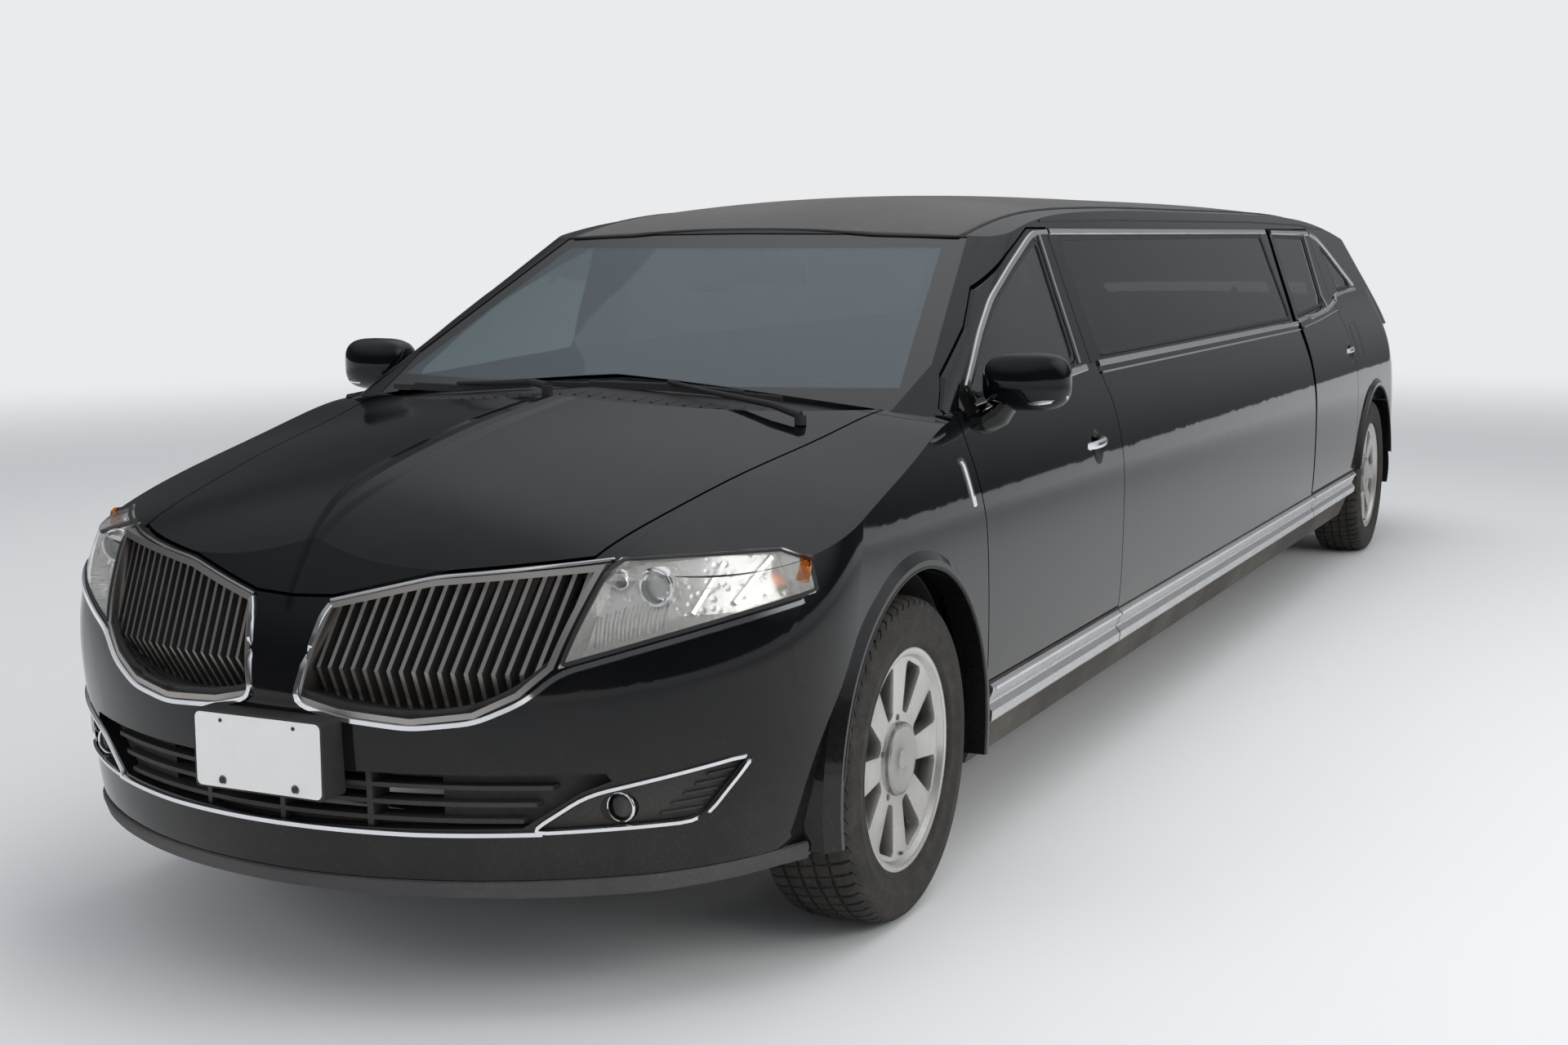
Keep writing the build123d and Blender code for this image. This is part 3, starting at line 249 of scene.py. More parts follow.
def orange_peel(g, below=None):
    """The faint ripple of sprayed lacquer."""
    return g.bump(g.noise(260.0, 1.0), 0.02, 0.0004, below)


def paint(name, colour):
    """Gloss black lacquer over fine metal flake, dusted towards the sills and a little where it looks up."""
    g = MaterialGraph(name)
    flake = g.cells(900.0).ease(0.0, 0.35, 1.0, 0.0) * 0.06
    dust = road_dust(g, 0.85, 0.13) + g.face_up().ease(0.6, 1.0) * g.noise(7.0, 5.0).ease(0.4, 0.8) * 0.015
    deep = g.mix(flake, colour, rgb(0.05, 0.06, 0.08))
    swirl = g.noise(45.0, 4.0, 0.6).ease(0.3, 0.8)
    return g.finish(g.surface(
        base_color=g.mix(dust, deep, rgb(0.23, 0.20, 0.16)), roughness=0.045 + 0.02 * swirl + 0.6 * dust,
        ior=1.40, normal=orange_peel(g, hood_crease(g))))


def roof_finish(name, colour):
    """Lacquer on the rails and pillars, and a matt grained cover between them."""
    g = MaterialGraph(name)
    half_width = bpy.context.scene.limo_sizes.cover_half_width
    inside = abs(g.y).ease(half_width - 0.002, half_width + 0.002, 1.0, 0.0)
    behind_screen = g.x.ease(front(-1.118), front(-1.112), 1.0, 0.0)
    cover = inside * behind_screen * g.face_up().ease(0.35, 0.5)
    grain = g.cells(420.0).largest(g.noise(600.0, 2.0))
    bleach = g.noise(1.3, 4.0).ease(0.3, 0.75)
    cloth = g.mix(bleach, rgb(0.035, 0.034, 0.034), rgb(0.062, 0.060, 0.058))
    cloth = g.mix(g.noise(30.0, 6.0).ease(0.5, 0.8) * 0.35, cloth, rgb(0.10, 0.096, 0.09))
    matt = g.surface(
        base_color=cloth, roughness=0.72, sheen_weight=0.15, specular_ior_level=0.35,
        normal=g.bump(grain, 0.35, 0.0012))
    gloss = g.surface(base_color=colour, roughness=0.05, ior=1.40, normal=orange_peel(g))
    return g.finish(g.blend(cover, gloss, matt))


def plastic(name, colour, roughness=0.55, grain=0.25, dust=0.3):
    """Moulded plastic with a leather-like grain and some road dust."""
    g = MaterialGraph(name)
    film = road_dust(g, 0.7, dust)
    base = g.mix(g.noise(18.0, 4.0) * 0.35, colour, toned(colour, 1.8, 0.01))
    return g.finish(g.surface(
        base_color=g.mix(film, base, rgb(0.25, 0.22, 0.18)), roughness=roughness + 0.15 * g.noise(60.0),
        normal=g.bump(g.cells(700.0), grain, 0.0006)))


def metal(name, colour, roughness, brushed=(1.0, 1.0, 1.0), dust=0.15, smear=0.06):
    """Bare or plated metal, drawn out along one direction and a little smeared."""
    g = MaterialGraph(name)
    film = road_dust(g, 0.7, dust)
    blot = g.noise(9.0, 5.0).ease(0.35, 0.8)
    base = g.mix(blot * 0.25, colour, toned(colour, 0.72))
    return g.finish(g.surface(
        base_color=g.mix(film, base, rgb(0.27, 0.23, 0.18)), metallic=1.0 - 0.8 * film,
        roughness=roughness + smear * blot + 0.5 * film,
        normal=g.bump(g.noise(220.0, 3.0, stretch=brushed), 0.04, 0.0004)))


def glass(name, colour, haze=0.02):
    """Tinted safety glass with a thin film of dust."""
    g = MaterialGraph(name)
    film = g.noise(5.0, 6.0).ease(0.45, 0.85) * haze
    clear = g.surface(base_color=colour, roughness=0.0, transmission_weight=1.0, ior=1.45)
    return g.finish(g.blend(film, clear, g.surface(base_color=rgb(0.32, 0.30, 0.27), roughness=0.8)))


def screen_glass(name, colour):
    """The windscreen: blue-grey tinted glass, about a third of it covered by a dull blue-grey layer that is a
    painted sky reflection, with a black printed border that ends in dots along its top.
    """
    g = MaterialGraph(name)
    top = g.z.ease(1.503, 1.507)
    low = g.z.ease(1.168, 1.172, 1.0, 0.0)
    side = (abs(g.y) + (g.z - 1.2) * 0.42).ease(0.712, 0.716)
    dots = g.z.ease(1.488, 1.503) * (1.0 - g.cells(160.0).ease(0.25, 0.3))
    border = top.largest(low).largest(side).largest(dots)
    # film is the share of the pane under the dull blue-grey layer, a painted reflection of the sky: a third,
    # a little more in patches
    film = 0.34 + g.noise(4.0, 6.0).ease(0.5, 0.85) * 0.04
    clear = g.surface(base_color=colour, roughness=0.0, transmission_weight=1.0, ior=1.45)
    printed = g.surface(base_color=rgb(0.006, 0.006, 0.007), roughness=0.12, coat_weight=0.6)
    painted_sky_reflection = g.surface(base_color=rgb(0.10, 0.135, 0.16), roughness=0.5, coat_weight=0.8, coat_roughness=0.02)
    return g.finish(g.blend(border, g.blend(film, clear, painted_sky_reflection), printed))


def leather(name, colour):
    """Fine-grained upholstery leather, worn lighter in places."""
    g = MaterialGraph(name)
    grain = g.cells(320.0, "DISTANCE_TO_EDGE").ease(0.0, 0.12)
    wear = g.noise(6.0, 5.0).ease(0.4, 0.8)
    return g.finish(g.surface(
        base_color=g.mix(wear * 0.5, colour, toned(colour, 1.6, 0.004)), roughness=0.42 + 0.15 * wear,
        normal=g.bump(grain, 0.35, 0.0008)))


def rubber(name, colour):
    """Tyre rubber with a brown-grey bloom and grit."""
    g = MaterialGraph(name)
    bloom = g.noise(24.0, 6.0, 0.6).ease(0.35, 0.75)
    grit = g.noise(240.0, 2.0).ease(0.55, 0.75)
    base = g.mix(bloom * 0.6, colour, rgb(0.075, 0.066, 0.056))
    return g.finish(g.surface(
        base_color=g.mix(grit * 0.25, base, rgb(0.16, 0.14, 0.12)), roughness=0.78 + 0.15 * bloom,
        specular_ior_level=0.3, normal=g.bump(g.noise(420.0, 2.0), 0.25, 0.0005)))


def lens(name, colour, haze=0.1):
    """Clear or coloured lamp plastic, a little hazed."""
    g = MaterialGraph(name)
    film = g.noise(14.0, 5.0).ease(0.3, 0.8) * haze
    clear = g.surface(base_color=colour, roughness=0.03, transmission_weight=1.0, ior=1.3)
    return g.finish(g.blend(film, clear, g.surface(base_color=rgb(0.6, 0.58, 0.52), roughness=0.6)))


def reflector(name, colour):
    """Silvered lamp bowl with fine facets."""
    g = MaterialGraph(name)
    facets = g.cells(55.0).ease(0.1, 0.5)
    return g.finish(g.surface(
        base_color=g.mix(facets * 0.3, colour, rgb(0.85, 0.85, 0.84)), metallic=0.45, roughness=0.22,
        normal=g.bump(facets, 0.4, 0.002)))


# Finish: its maker, the material's name, a colour or None for the body's own, and the maker's other values
FINISHES = {
    "paint": (paint, "black_lacquer", None),
    "roof_finish": (roof_finish, "roof_cover_and_rails", None),
    "chrome": (metal, "chrome", (0.82, 0.83, 0.85), 0.06, (1.0, 1.0, 1.0), 0.05),
    "rocker_metal": (metal, "polished_sill_metal", (0.62, 0.62, 0.63), 0.2, (0.02, 1.0, 1.0), 0.3, 0.12),
    "bar_metal": (metal, "satin_grille_metal", (0.50, 0.475, 0.45), 0.38, (1.0, 1.0, 0.05), 0.1),
    "alloy": (metal, "machined_alloy", (0.66, 0.65, 0.63), 0.28, (1.0, 1.0, 1.0), 0.45, 0.1),
    "steel": (metal, "dull_steel", (0.22, 0.21, 0.20), 0.5, (1.0, 1.0, 1.0), 0.6),
    "engine_metal": (metal, "cast_metal", (0.35, 0.35, 0.35), 0.5, (1.0, 1.0, 1.0), 0.3),
    "cap_metal": (metal, "wheel_cap_metal", (0.45, 0.44, 0.42), 0.24, (1.0, 1.0, 1.0), 0.35),
    "cast_iron": (metal, "cast_iron", (0.12, 0.11, 0.10), 0.6, (1.0, 1.0, 1.0), 0.7),
    "mirror": (metal, "mirror_glass", (0.75, 0.78, 0.80), 0.02, (1.0, 1.0, 1.0), 0.0),
    "black_plastic": (plastic, "black_plastic", (0.018, 0.018, 0.019)),
    "grey_plastic": (plastic, "grey_lip_plastic", (0.036, 0.037, 0.041), 0.6),
    "underbody": (plastic, "underbody_coat", (0.02, 0.02, 0.02), 0.8, 0.5, 0.6),
    "interior": (plastic, "interior_plastic", (0.03, 0.03, 0.032), 0.6, 0.3, 0.0),
    "plate_enamel": (plastic, "plate_enamel", (0.78, 0.78, 0.76), 0.4, 0.03, 0.2),
    "leather": (leather, "seat_leather", (0.022, 0.021, 0.021)),
    "screen_glass": (screen_glass, "windscreen_glass", (0.40, 0.50, 0.55)),
    "side_glass": (glass, "front_door_glass", (0.42, 0.48, 0.46)),
    "dark_glass": (glass, "privacy_glass", (0.05, 0.055, 0.058), 0.015),
    "rubber": (rubber, "tyre_rubber", (0.028, 0.027, 0.026)),
    "lamp_glass": (lens, "clear_lens", (0.95, 0.96, 0.97)),
    "lamp_red": (lens, "red_lens", (0.5, 0.01, 0.01), 0.03),
    "lamp_amber": (lens, "amber_lens", (0.85, 0.22, 0.02), 0.03),
    "reflector": (reflector, "lamp_reflector", (0.66, 0.65, 0.62)),
    "gloss_black": (paint, "gloss_black_trim", (0.004, 0.004, 0.004)),
}

# The slot name of each finish, where it isn't black_trim; new_piece looks it up but gives the piece no slot
SLOTS = {
    "chrome": "bright_trim", "mirror": "bright_trim", "paint": "paint", "plate_enamel": None,
    "lamp_glass": "lamp_glass", "lamp_amber": "lamp_glass", "lamp_red": "lamp_red",
    "reflector": "lamp_housing", "rubber": "tyre", "alloy": "wheel_alloy", "cap_metal": "wheel_alloy",
    "steel": "steel", "cast_iron": "cast_iron", "leather": "seat_leather", "interior": "interior",
}

# What each node of the frame is finished with
NODE_FINISH = {
    "paint": [
        "hood", "front_bumper", "tailgate", "rear_bumper",
        *both("fender", "side_panel", "quarter_panel", "front_door", "rear_door", "mirror"),
    ],
    "roof_finish": ["roof"],
    "bar_metal": both("grille"),
    "black_plastic": ["lower_grille", "plate_bracket", "cowl_panel", "fog_lamps"],
    "reflector": ["headlamps"],
    "lamp_glass": ["headlamp_covers"],
    "screen_glass": ["windscreen"],
    "side_glass": both("front_door_glass"),
    "dark_glass": ["stretch_glass", "quarter_glass", "rear_glass", *both("rear_door_glass")],
    "lamp_red": ["tail_lamps", "tail_lamp_band"],
    "rocker_metal": ["rocker_mouldings"],
    "underbody": ["floor_pan", "sills", "firewall", "wheel_houses"],
    "steel": ["front_subframe", "rear_suspension", "exhaust", *both("knuckle")],
    "engine_metal": ["engine"],
    "interior": ["dashboard"],
    "leather": ["seats"],
    "alloy": both("wheel_front", "wheel_rear"),
    "rubber": both("tyre_front", "tyre_rear"),
}

MATERIALS = {}


def material(finish):
    """The material of a finish, made when it is first asked for."""
    if finish not in MATERIALS:
        maker, name, colour, *values = FINISHES[finish]
        MATERIALS[finish] = maker(name, rgb(*(colour or bpy.context.scene.limo_colours.body)), *values)
    return MATERIALS[finish]


class LimoColours(bpy.types.PropertyGroup):
    body: FloatVectorProperty(
        name="Body colour", description="Colour of the lacquer", subtype="COLOR", size=3,
        default=(0.0024, 0.0028, 0.0038), min=0.0, max=1.0,
    )
    backdrop: FloatVectorProperty(
        name="Backdrop colour", description="Colour of the floor and of the air behind", subtype="COLOR",
        size=3, default=(0.82, 0.83, 0.84), min=0.0, max=1.0,
    )


class LimoSizes(bpy.types.PropertyGroup):
    cover_half_width: FloatProperty(
        name="Roof cover half width", description="Half the width of the grained roof cover", unit="LENGTH",
        default=0.62,
    )


class StageOperator(bpy.types.Operator):
    """Camera, floor, soft lamps and pale air"""

    bl_idname = "limo.stage"
    bl_label = "Studio"

    camera_place = (4.1793, 2.6017, 1.5359)
    camera_heading = math.radians(205.304)
    camera_pitch = math.radians(-7.941)
    camera_roll = math.radians(-0.242)
    focal_share = 2511.2 / 1920.0
    sensor_width = 36.0
    sight = 200.0
    # Lamps as place, size, power and colour, and the place that they look at
    lamps = [
        ((-3.0, 0.5, 6.5), (11.0, 5.0), 260.0, (1.0, 0.99, 0.97)),
        ((-1.0, 7.5, 4.2), (9.0, 3.0), 240.0, (1.0, 0.98, 0.94)),
        ((6.5, -3.5, 3.6), (4.0, 3.0), 110.0, (0.95, 0.97, 1.0)),
    ]
    lit_place = (-2.5, 0.0, 0.7)
    ambient = rgb(0.93, 0.96, 1.0)
    ambient_strength = 0.55
    seen_through_glass = 0.6
    reflected_air = 0.07
    # Glows in reflections: direction, cosines where the glow starts and is full, strength
    glows = [
        ((0.0, 0.0, 1.0), 0.25, 1.0, 0.50), ((-0.35, 0.75, 0.56), 0.80, 1.0, 0.9),
        ((-0.85, 0.0, 0.53), 0.75, 1.0, 0.35),
    ]
    floor_reach = 60.0
    # Distances over which the floor turns into the backdrop
    floor_fade = (7.0, 17.0)

    def add_camera(self):
        data = bpy.data.cameras.new("photo_camera")
        data.sensor_width = self.sensor_width
        data.lens = self.focal_share * self.sensor_width
        data.clip_end = self.sight
        camera = bpy.data.objects.new("photo_camera", data)
        heading, pitch, roll = self.camera_heading, self.camera_pitch, self.camera_roll
        flat = math.cos(pitch)
        ahead = Vector((math.cos(heading) * flat, math.sin(heading) * flat, math.sin(pitch)))
        level = Vector((math.sin(heading), -math.cos(heading), 0.0))
        right = math.cos(roll) * level + math.sin(roll) * level.cross(ahead)
        camera.matrix_world = basis(right, right.cross(ahead), -ahead, spot(*self.camera_place))
        bpy.context.scene.collection.objects.link(camera)
        bpy.context.scene.camera = camera

    def add_lamps(self):
        for number, (place, size, power, colour) in enumerate(self.lamps):
            data = bpy.data.lights.new(f"soft_lamp_{number}", "AREA")
            data.shape = "RECTANGLE"
            data.size, data.size_y = size
            data.energy = power
            data.color = colour
            lamp = bpy.data.objects.new(data.name, data)
            lamp.visible_glossy = False
            lamp.location = spot(*place)
            lamp.rotation_euler = (spot(*self.lit_place) - lamp.location).to_track_quat("-Z", "Y").to_euler()
            bpy.context.scene.collection.objects.link(lamp)

    def add_air(self, colour):
        """Pale behind the object, softer for the light it gives, and a soft gradient in reflections."""
        world = bpy.data.worlds.new("pale_air")
        g = Graph(world)

        def background(tint, strength):
            return g.node("ShaderNodeBackground", None, {"Color": tint, "Strength": strength})

        shader = background(self.ambient, self.ambient_strength)
        for ray, tint, strength in (
            ("Is Glossy Ray", self.ambient, self.reflected_sky(g)), ("Is Camera Ray", colour, 1.0),
            ("Is Transmission Ray", colour, self.seen_through_glass),
        ):
            shader = g.blend(g.node("ShaderNodeLightPath", output=ray), shader, background(tint, strength))
        g.node("ShaderNodeOutputWorld", None, {"Surface": shader})
        bpy.context.scene.world = world

    def reflected_sky(self, g):
        """Dim at the horizon, brighter overhead, with a soft glow high on the left side."""
        direction = g.node("ShaderNodeTexCoord", output="Generated")
        total = self.reflected_air
        for way, start, end, strength in self.glows:
            inputs = {0: direction, 1: Vector(way).normalized()}
            facing = g.node("ShaderNodeVectorMath", {"operation": "DOT_PRODUCT"}, inputs, "Value")
            total = facing.ease(start, end, 0.0, strength) + total
        return total

    def add_floor(self, colour):
        bm = bmesh.new()
        bmesh.ops.create_grid(bm, x_segments=1, y_segments=1, size=self.floor_reach)
        mesh = bpy.data.meshes.new("studio_floor")
        bm.to_mesh(mesh)
        bm.free()
        floor = bpy.data.objects.new("studio_floor", mesh)
        g = MaterialGraph("studio_floor")
        away = (g.x * g.x + g.y * g.y).power(0.5).ease(*self.floor_fade)
        near = g.surface(base_color=colour, roughness=0.8, specular_ior_level=0.1)
        far = g.node("ShaderNodeEmission", None, {"Color": colour})
        mesh.materials.append(g.finish(g.blend(away, near, far)))
        bpy.context.scene.collection.objects.link(floor)

    def execute(self, context):
        colour = rgb(*context.scene.limo_colours.backdrop)
        context.scene.view_settings.view_transform = "Standard"
        self.add_camera()
        self.add_air(colour)
        self.add_floor(colour)
        self.add_lamps()
        return {"FINISHED"}


class FinishOperator(bpy.types.Operator):
    """Gives every node of the frame its finish"""

    bl_idname = "limo.finishes"
    bl_label = "Finishes"

    def execute(self, context):
        for finish, names in NODE_FINISH.items():
            for name in names:
                slots = NODES[name].data.materials
                slots.clear()
                slots.append(material(finish))
        missing = set(NODES) - {name for names in NODE_FINISH.values() for name in names}
        if missing:
            raise RuntimeError(f"no finish for {sorted(missing)}")
        return {"FINISHED"}


# Places and outlines in metres. A side outline is distance ahead of the front axle and height, a front
# outline is y and height.

FRONT_WINDOW = [
    (-0.560, 1.130), (-1.507, 1.175), (-1.487, 1.530), (-1.410, 1.512), (-1.200, 1.444), (-0.955, 1.355),
    (-0.781, 1.264),
]
STRETCH_WINDOW = [(-1.750, 1.178), (-4.521, 1.180), (-4.416, 1.536), (-1.687, 1.536)]
REAR_WINDOW = [(-4.673, 1.186), (-5.258, 1.214), (-5.276, 1.527), (-4.637, 1.534)]
QUARTER_WINDOW = [(-5.697, 1.270), (-6.109, 1.282), (-5.743, 1.440), (-5.568, 1.505)]
GRILLE_EDGE = [
    (0.092, 0.826), (0.300, 0.876), (0.606, 0.906), (0.556, 0.716), (0.500, 0.662), (0.420, 0.622),
    (0.300, 0.606), (0.150, 0.618), (0.052, 0.640),
]
FOG_EDGE = [(0.520, 0.398), (0.610, 0.462), (0.850, 0.520), (0.780, 0.408)]
LAMP_EDGE = [(0.612, 0.914), (0.985, 0.916), (0.985, 0.846), (0.562, 0.716)]

# Cross-sections of strips, from -1 to 1 across and from 0 to 1 outwards
MOULDING = [(-1.0, -0.5), (-1.0, 0.4), (-0.7, 1.0), (0.7, 1.0), (1.0, 0.4), (1.0, -0.5)]
BEAD = [(math.cos(turn * math.tau / 10), math.sin(turn * math.tau / 10)) for turn in range(10)]
BLADE = [(-1.0, -1.0), (-1.0, 1.0), (1.0, 1.0), (1.0, -1.0)]


def side_path(*points):
    """A path drawn in side view, and the way from the viewer to the left side of the car."""
    return [Vector((front(ahead), BESIDE, z)) for ahead, z in points], INWARDS


def front_path(*points):
    """A path drawn in front view, and the way from the viewer to the car."""
    return [Vector((front(AHEAD), y, z)) for y, z in points], BACKWARDS


def back_path(*points):
    """A path drawn in rear view, and the way from the viewer to the car."""
    return [Vector((REAR_AXLE.x - BEHIND, y, z)) for y, z in points], FORWARDS


def top_path(*points):
    """A path drawn from above, and the way down to the car."""
    return [Vector((front(ahead), y, ABOVE)) for ahead, y in points], DOWNWARDS


def grown(outline, distance, sharpest=0.35):
    """A closed outline moved outwards by a distance, and less at its sharpest corners."""
    pairs = list(zip(outline, outline[1:] + outline[:1]))
    area = sum(a[0] * b[1] - b[0] * a[1] for a, b in pairs)
    way = math.copysign(distance, area * distance)
    moved = []
    for number, corner in enumerate(outline):
        here = Vector(corner)
        into = (here - Vector(outline[number - 1])).normalized()
        away = (Vector(outline[(number + 1) % len(outline)]) - here).normalized()
        outwards = Vector((into.y + away.y, -into.x - away.x)).normalized()
        reach = way / max(sharpest, outwards.dot(Vector((into.y, -into.x))))
        moved.append(tuple(here + outwards * reach))
    return moved


def rounded(outline, radius, closed=True, steps=4, most=0.45):
    """An outline with each corner replaced by a curve that takes up no more than this share of a side."""
    points = [Vector(point) for point in outline]
    result = []
    for number, corner in enumerate(points):
        if not closed and number in (0, len(points) - 1):
            result.append(tuple(corner))
            continue
        start, end = (
            corner + (near - corner).normalized() * min(radius, (near - corner).length * most)
            for near in (points[number - 1], points[(number + 1) % len(points)]))
        for step in range(steps + 1):
            share = step / steps
            result.append(tuple(start.lerp(corner, share).lerp(corner.lerp(end, share), share)))
    return result


# Modelling steps

SEARCH_TREES = {}


def faces_of(*names):
    """A search tree over the faces of these nodes."""
    if names not in SEARCH_TREES:
        bm = bmesh.new()
        for name in names:
            bm.from_mesh(NODES[name].data)
        SEARCH_TREES[names] = BVHTree.FromBMesh(bm)
        bm.free()
    return SEARCH_TREES[names]


def drape(tree, path, spacing, closed=False, search=0.03, nearest=0.15, reach=2):
    """Points along a path let down onto the faces in the viewer's direction, with the faces' normals.

    A point that misses goes to the nearest face within the search distance. Points closer than a share of
    the spacing are left out, and the normals are evened over the points within reach.
    """
    points, look = path
    ends = points[1:] + points[:1] if closed else points[1:]
    dense = [] if closed else [points[0]]
    for start, end in zip(points, ends):
        count = max(1, round((end - start).length / spacing))
        dense += [start.lerp(end, (number + 1) / count) for number in range(count)]
    hits = []
    for point in dense:
        place, normal = tree.ray_cast(point, look)[:2]
        if place is None and hits:
            depth = (hits[-1][0] - point).dot(look)
            place, normal = tree.find_nearest(point + look * depth, search)[:2]
        if place and (not hits or (place - hits[-1][0]).length > spacing * nearest):
            hits.append((place, normal if normal.dot(look) < 0.0 else -normal))
    stations = []
    for number, (place, _) in enumerate(hits):
        near = [hits[(number + step) % len(hits)][1] for step in range(-reach, reach + 1)
                if closed or 0 <= number + step < len(hits)]
        stations.append((place, sum(near, Vector()).normalized()))
    return stations


def basis(across, out, ahead, place):
    """The matrix with these columns and this place."""
    return Matrix.Translation(place) @ Matrix((across, out, ahead)).transposed().to_4x4()


def surface_frames(stations, width, height, closed=False):
    """Frames for a strip this wide and high that lies on the stations' faces."""
    frames = []
    count = len(stations)
    for number, (place, normal) in enumerate(stations):
        before = stations[number - 1][0] if closed or number else place
        after = stations[(number + 1) % count][0] if closed or number + 1 < count else place
        ahead = (after - before).normalized()
        side = ahead.cross(normal).normalized()
        frames.append(basis(side * (width / 2), side.cross(ahead) * height, ahead, place))
    return frames


def rod_frames(points, *radii):
    """Frames for a rod through a line of points; a single radius or one a point."""
    frames = []
    for number, point in enumerate(points):
        before, after = points[max(0, number - 1)], points[min(len(points) - 1, number + 1)]
        turn = (after - before).to_track_quat("Z", "Y").to_matrix().to_4x4()
        radius = radii[min(number, len(radii) - 1)]
        frames.append(Matrix.Translation(point) @ turn @ Matrix.Diagonal((radius, radius, 1.0, 1.0)))
    return frames


def loop_edges(bm, points):
    """New edges round a closed line of points."""
    verts = [bm.verts.new(point) for point in points]
    return verts, [bm.edges.new(pair) for pair in zip(verts, verts[1:] + verts[:1])]


def sweep(bm, section, frames, closed=False):
    """Carries a closed cross-section through the frames."""
    _, edges = loop_edges(bm, [frames[0] @ Vector((x, y, 0.0)) for x, y in section])
    first = list(edges)
    for before, after in zip(frames, frames[1:]):
        made = bmesh.ops.extrude_edge_only(bm, edges=edges)["geom"]
        verts = {item for item in made if isinstance(item, bmesh.types.BMVert)}
        edges = [item for item in made if isinstance(item, bmesh.types.BMEdge) and set(item.verts) <= verts]
        bmesh.ops.transform(bm, matrix=after @ before.inverted(), verts=list(verts))
    if closed:
        bmesh.ops.bridge_loops(bm, edges=first + edges)
    else:
        for loop in (first, edges):
            bmesh.ops.contextual_create(bm, geom=loop)


def spun(bm, profile, centre, steps=64):
    """A closed profile of (radius, place along the axis) turned about a wheel's axis."""
    verts, edges = loop_edges(bm, [centre + Vector((radius, along, 0.0)) for radius, along in profile])
    bmesh.ops.spin(
        bm, geom=verts + edges, cent=centre, axis=(0.0, 1.0, 0.0), angle=math.tau, steps=steps,
        use_merge=True)
    bmesh.ops.remove_doubles(bm, verts=bm.verts, dist=1e-5)
    bmesh.ops.dissolve_degenerate(bm, edges=bm.edges, dist=1e-6)


def sheet(bm, points, thickness, cut=True):
    """A thin sheet with this outline; cut into triangles where it isn't flat."""
    made = bmesh.ops.contextual_create(bm, geom=loop_edges(bm, points)[1])["faces"]
    if cut:
        bmesh.ops.triangulate(bm, faces=made)
    bmesh.ops.solidify(bm, geom=bm.faces[:], thickness=thickness)


def round_off(bm, edges, radius, segments, **limits):
    """Rounds edges off."""
    return bmesh.ops.bevel(
        bm, geom=edges, offset=radius, segments=segments, profile=0.5, affect="EDGES", material=-1, **limits)


def lengthwise(bm):
    """The edges that run along the car."""
    return [edge for edge in bm.edges if abs((edge.verts[0].co - edge.verts[1].co).normalized().x) > 0.9]


def block(bm, low, high, radius=0.0, segments=3):
    """A block between two corners with its edges rounded."""
    low, high = Vector(low), Vector(high)
    size = high - low
    place = Matrix.Translation((low + high) / 2) @ Matrix.Diagonal((size.x, size.y, size.z, 1.0))
    verts = bmesh.ops.create_cube(bm, size=1.0, matrix=place)["verts"]
    if radius:
        round_off(bm, list({edge for vert in verts for edge in vert.link_edges}), radius, segments)


def disc(bm, centre, look, radius, depth, segments=32, small=None):
    """A short cylinder or cone whose far face is at the centre, looking this way."""
    turn = Vector(look).to_track_quat("Z", "Y").to_matrix().to_4x4()
    bmesh.ops.create_cone(
        bm, cap_ends=True, segments=segments, radius1=radius, radius2=radius if small is None else small,
        depth=depth, matrix=Matrix.Translation(Vector(centre) - Vector(look).normalized() * depth / 2) @ turn)


def ring(bm, centre, look, radius, thickness, segments=40, sides=10):
    """A round ring that faces this way."""
    turn = Vector(look).to_track_quat("Z", "Y").to_matrix()
    axis = turn @ Vector((0.0, 0.0, 1.0))
    frames = []
    for step in range(segments):
        angle = step * math.tau / segments
        radial = turn @ Vector((math.cos(angle), math.sin(angle), 0.0))
        frames.append(basis(radial, axis, radial.cross(axis), Vector(centre) + radial * radius))
    turns = [side * math.tau / sides for side in range(sides)]
    section = [(thickness * math.cos(turn), thickness * math.sin(turn)) for turn in turns]
    sweep(bm, section, frames, closed=True)


def strips(nodes, rows, section=MOULDING, closed=False, spacing=0.03):
    """A build that lays strips on these nodes' faces. A row is a path, a width and a height."""
    def build(bm):
        for path, width, height in rows:
            stations = drape(faces_of(*nodes), path, spacing, closed)
            sweep(bm, section, surface_frames(stations, width, height, closed), closed)

    return build


def doubled(build):
    """A build of a left shape together with its mirror image."""
    def build_both(bm):
        build(bm)
        copied = bmesh.ops.duplicate(bm, geom=bm.verts[:] + bm.edges[:] + bm.faces[:])["geom"]
        verts = [item for item in copied if isinstance(item, bmesh.types.BMVert)]
        bmesh.ops.scale(bm, vec=(1.0, -1.0, 1.0), verts=verts)

    return build_both


def new_piece(name, build, finish, body="root", sharp=35.0, way=1.0, slot=None):
    """Turns what build models into a piece that rides on a body; a way of -1 gives its mirror image."""
    bm = bmesh.new()
    build(bm)
    bmesh.ops.scale(bm, vec=(1.0, way, 1.0), verts=bm.verts)
    bmesh.ops.recalc_face_normals(bm, faces=bm.faces)
    for face in bm.faces:
        face.smooth = True
    mesh = bpy.data.meshes.new(name)
    bm.to_mesh(mesh)
    bm.free()
    mesh.set_sharp_from_angle(angle=math.radians(sharp))
    mesh.materials.append(material(finish))
    piece = bpy.data.objects.new(name, mesh)
    bpy.context.scene.collection.objects.link(piece)
    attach(piece, body)
    slot = slot or SLOTS.get(finish, "black_trim")
    return piece


def new_pair(name, build, finish, body="root"):
    """Makes the left piece and its mirror image; a body other than root gets the side's name added."""
    return [
        new_piece(f"{name}_{side}", build, finish, body if body == "root" else f"{body}_{side}", way=way)
        for side, way in SIDES.items()
    ]


# Wheels and tyres

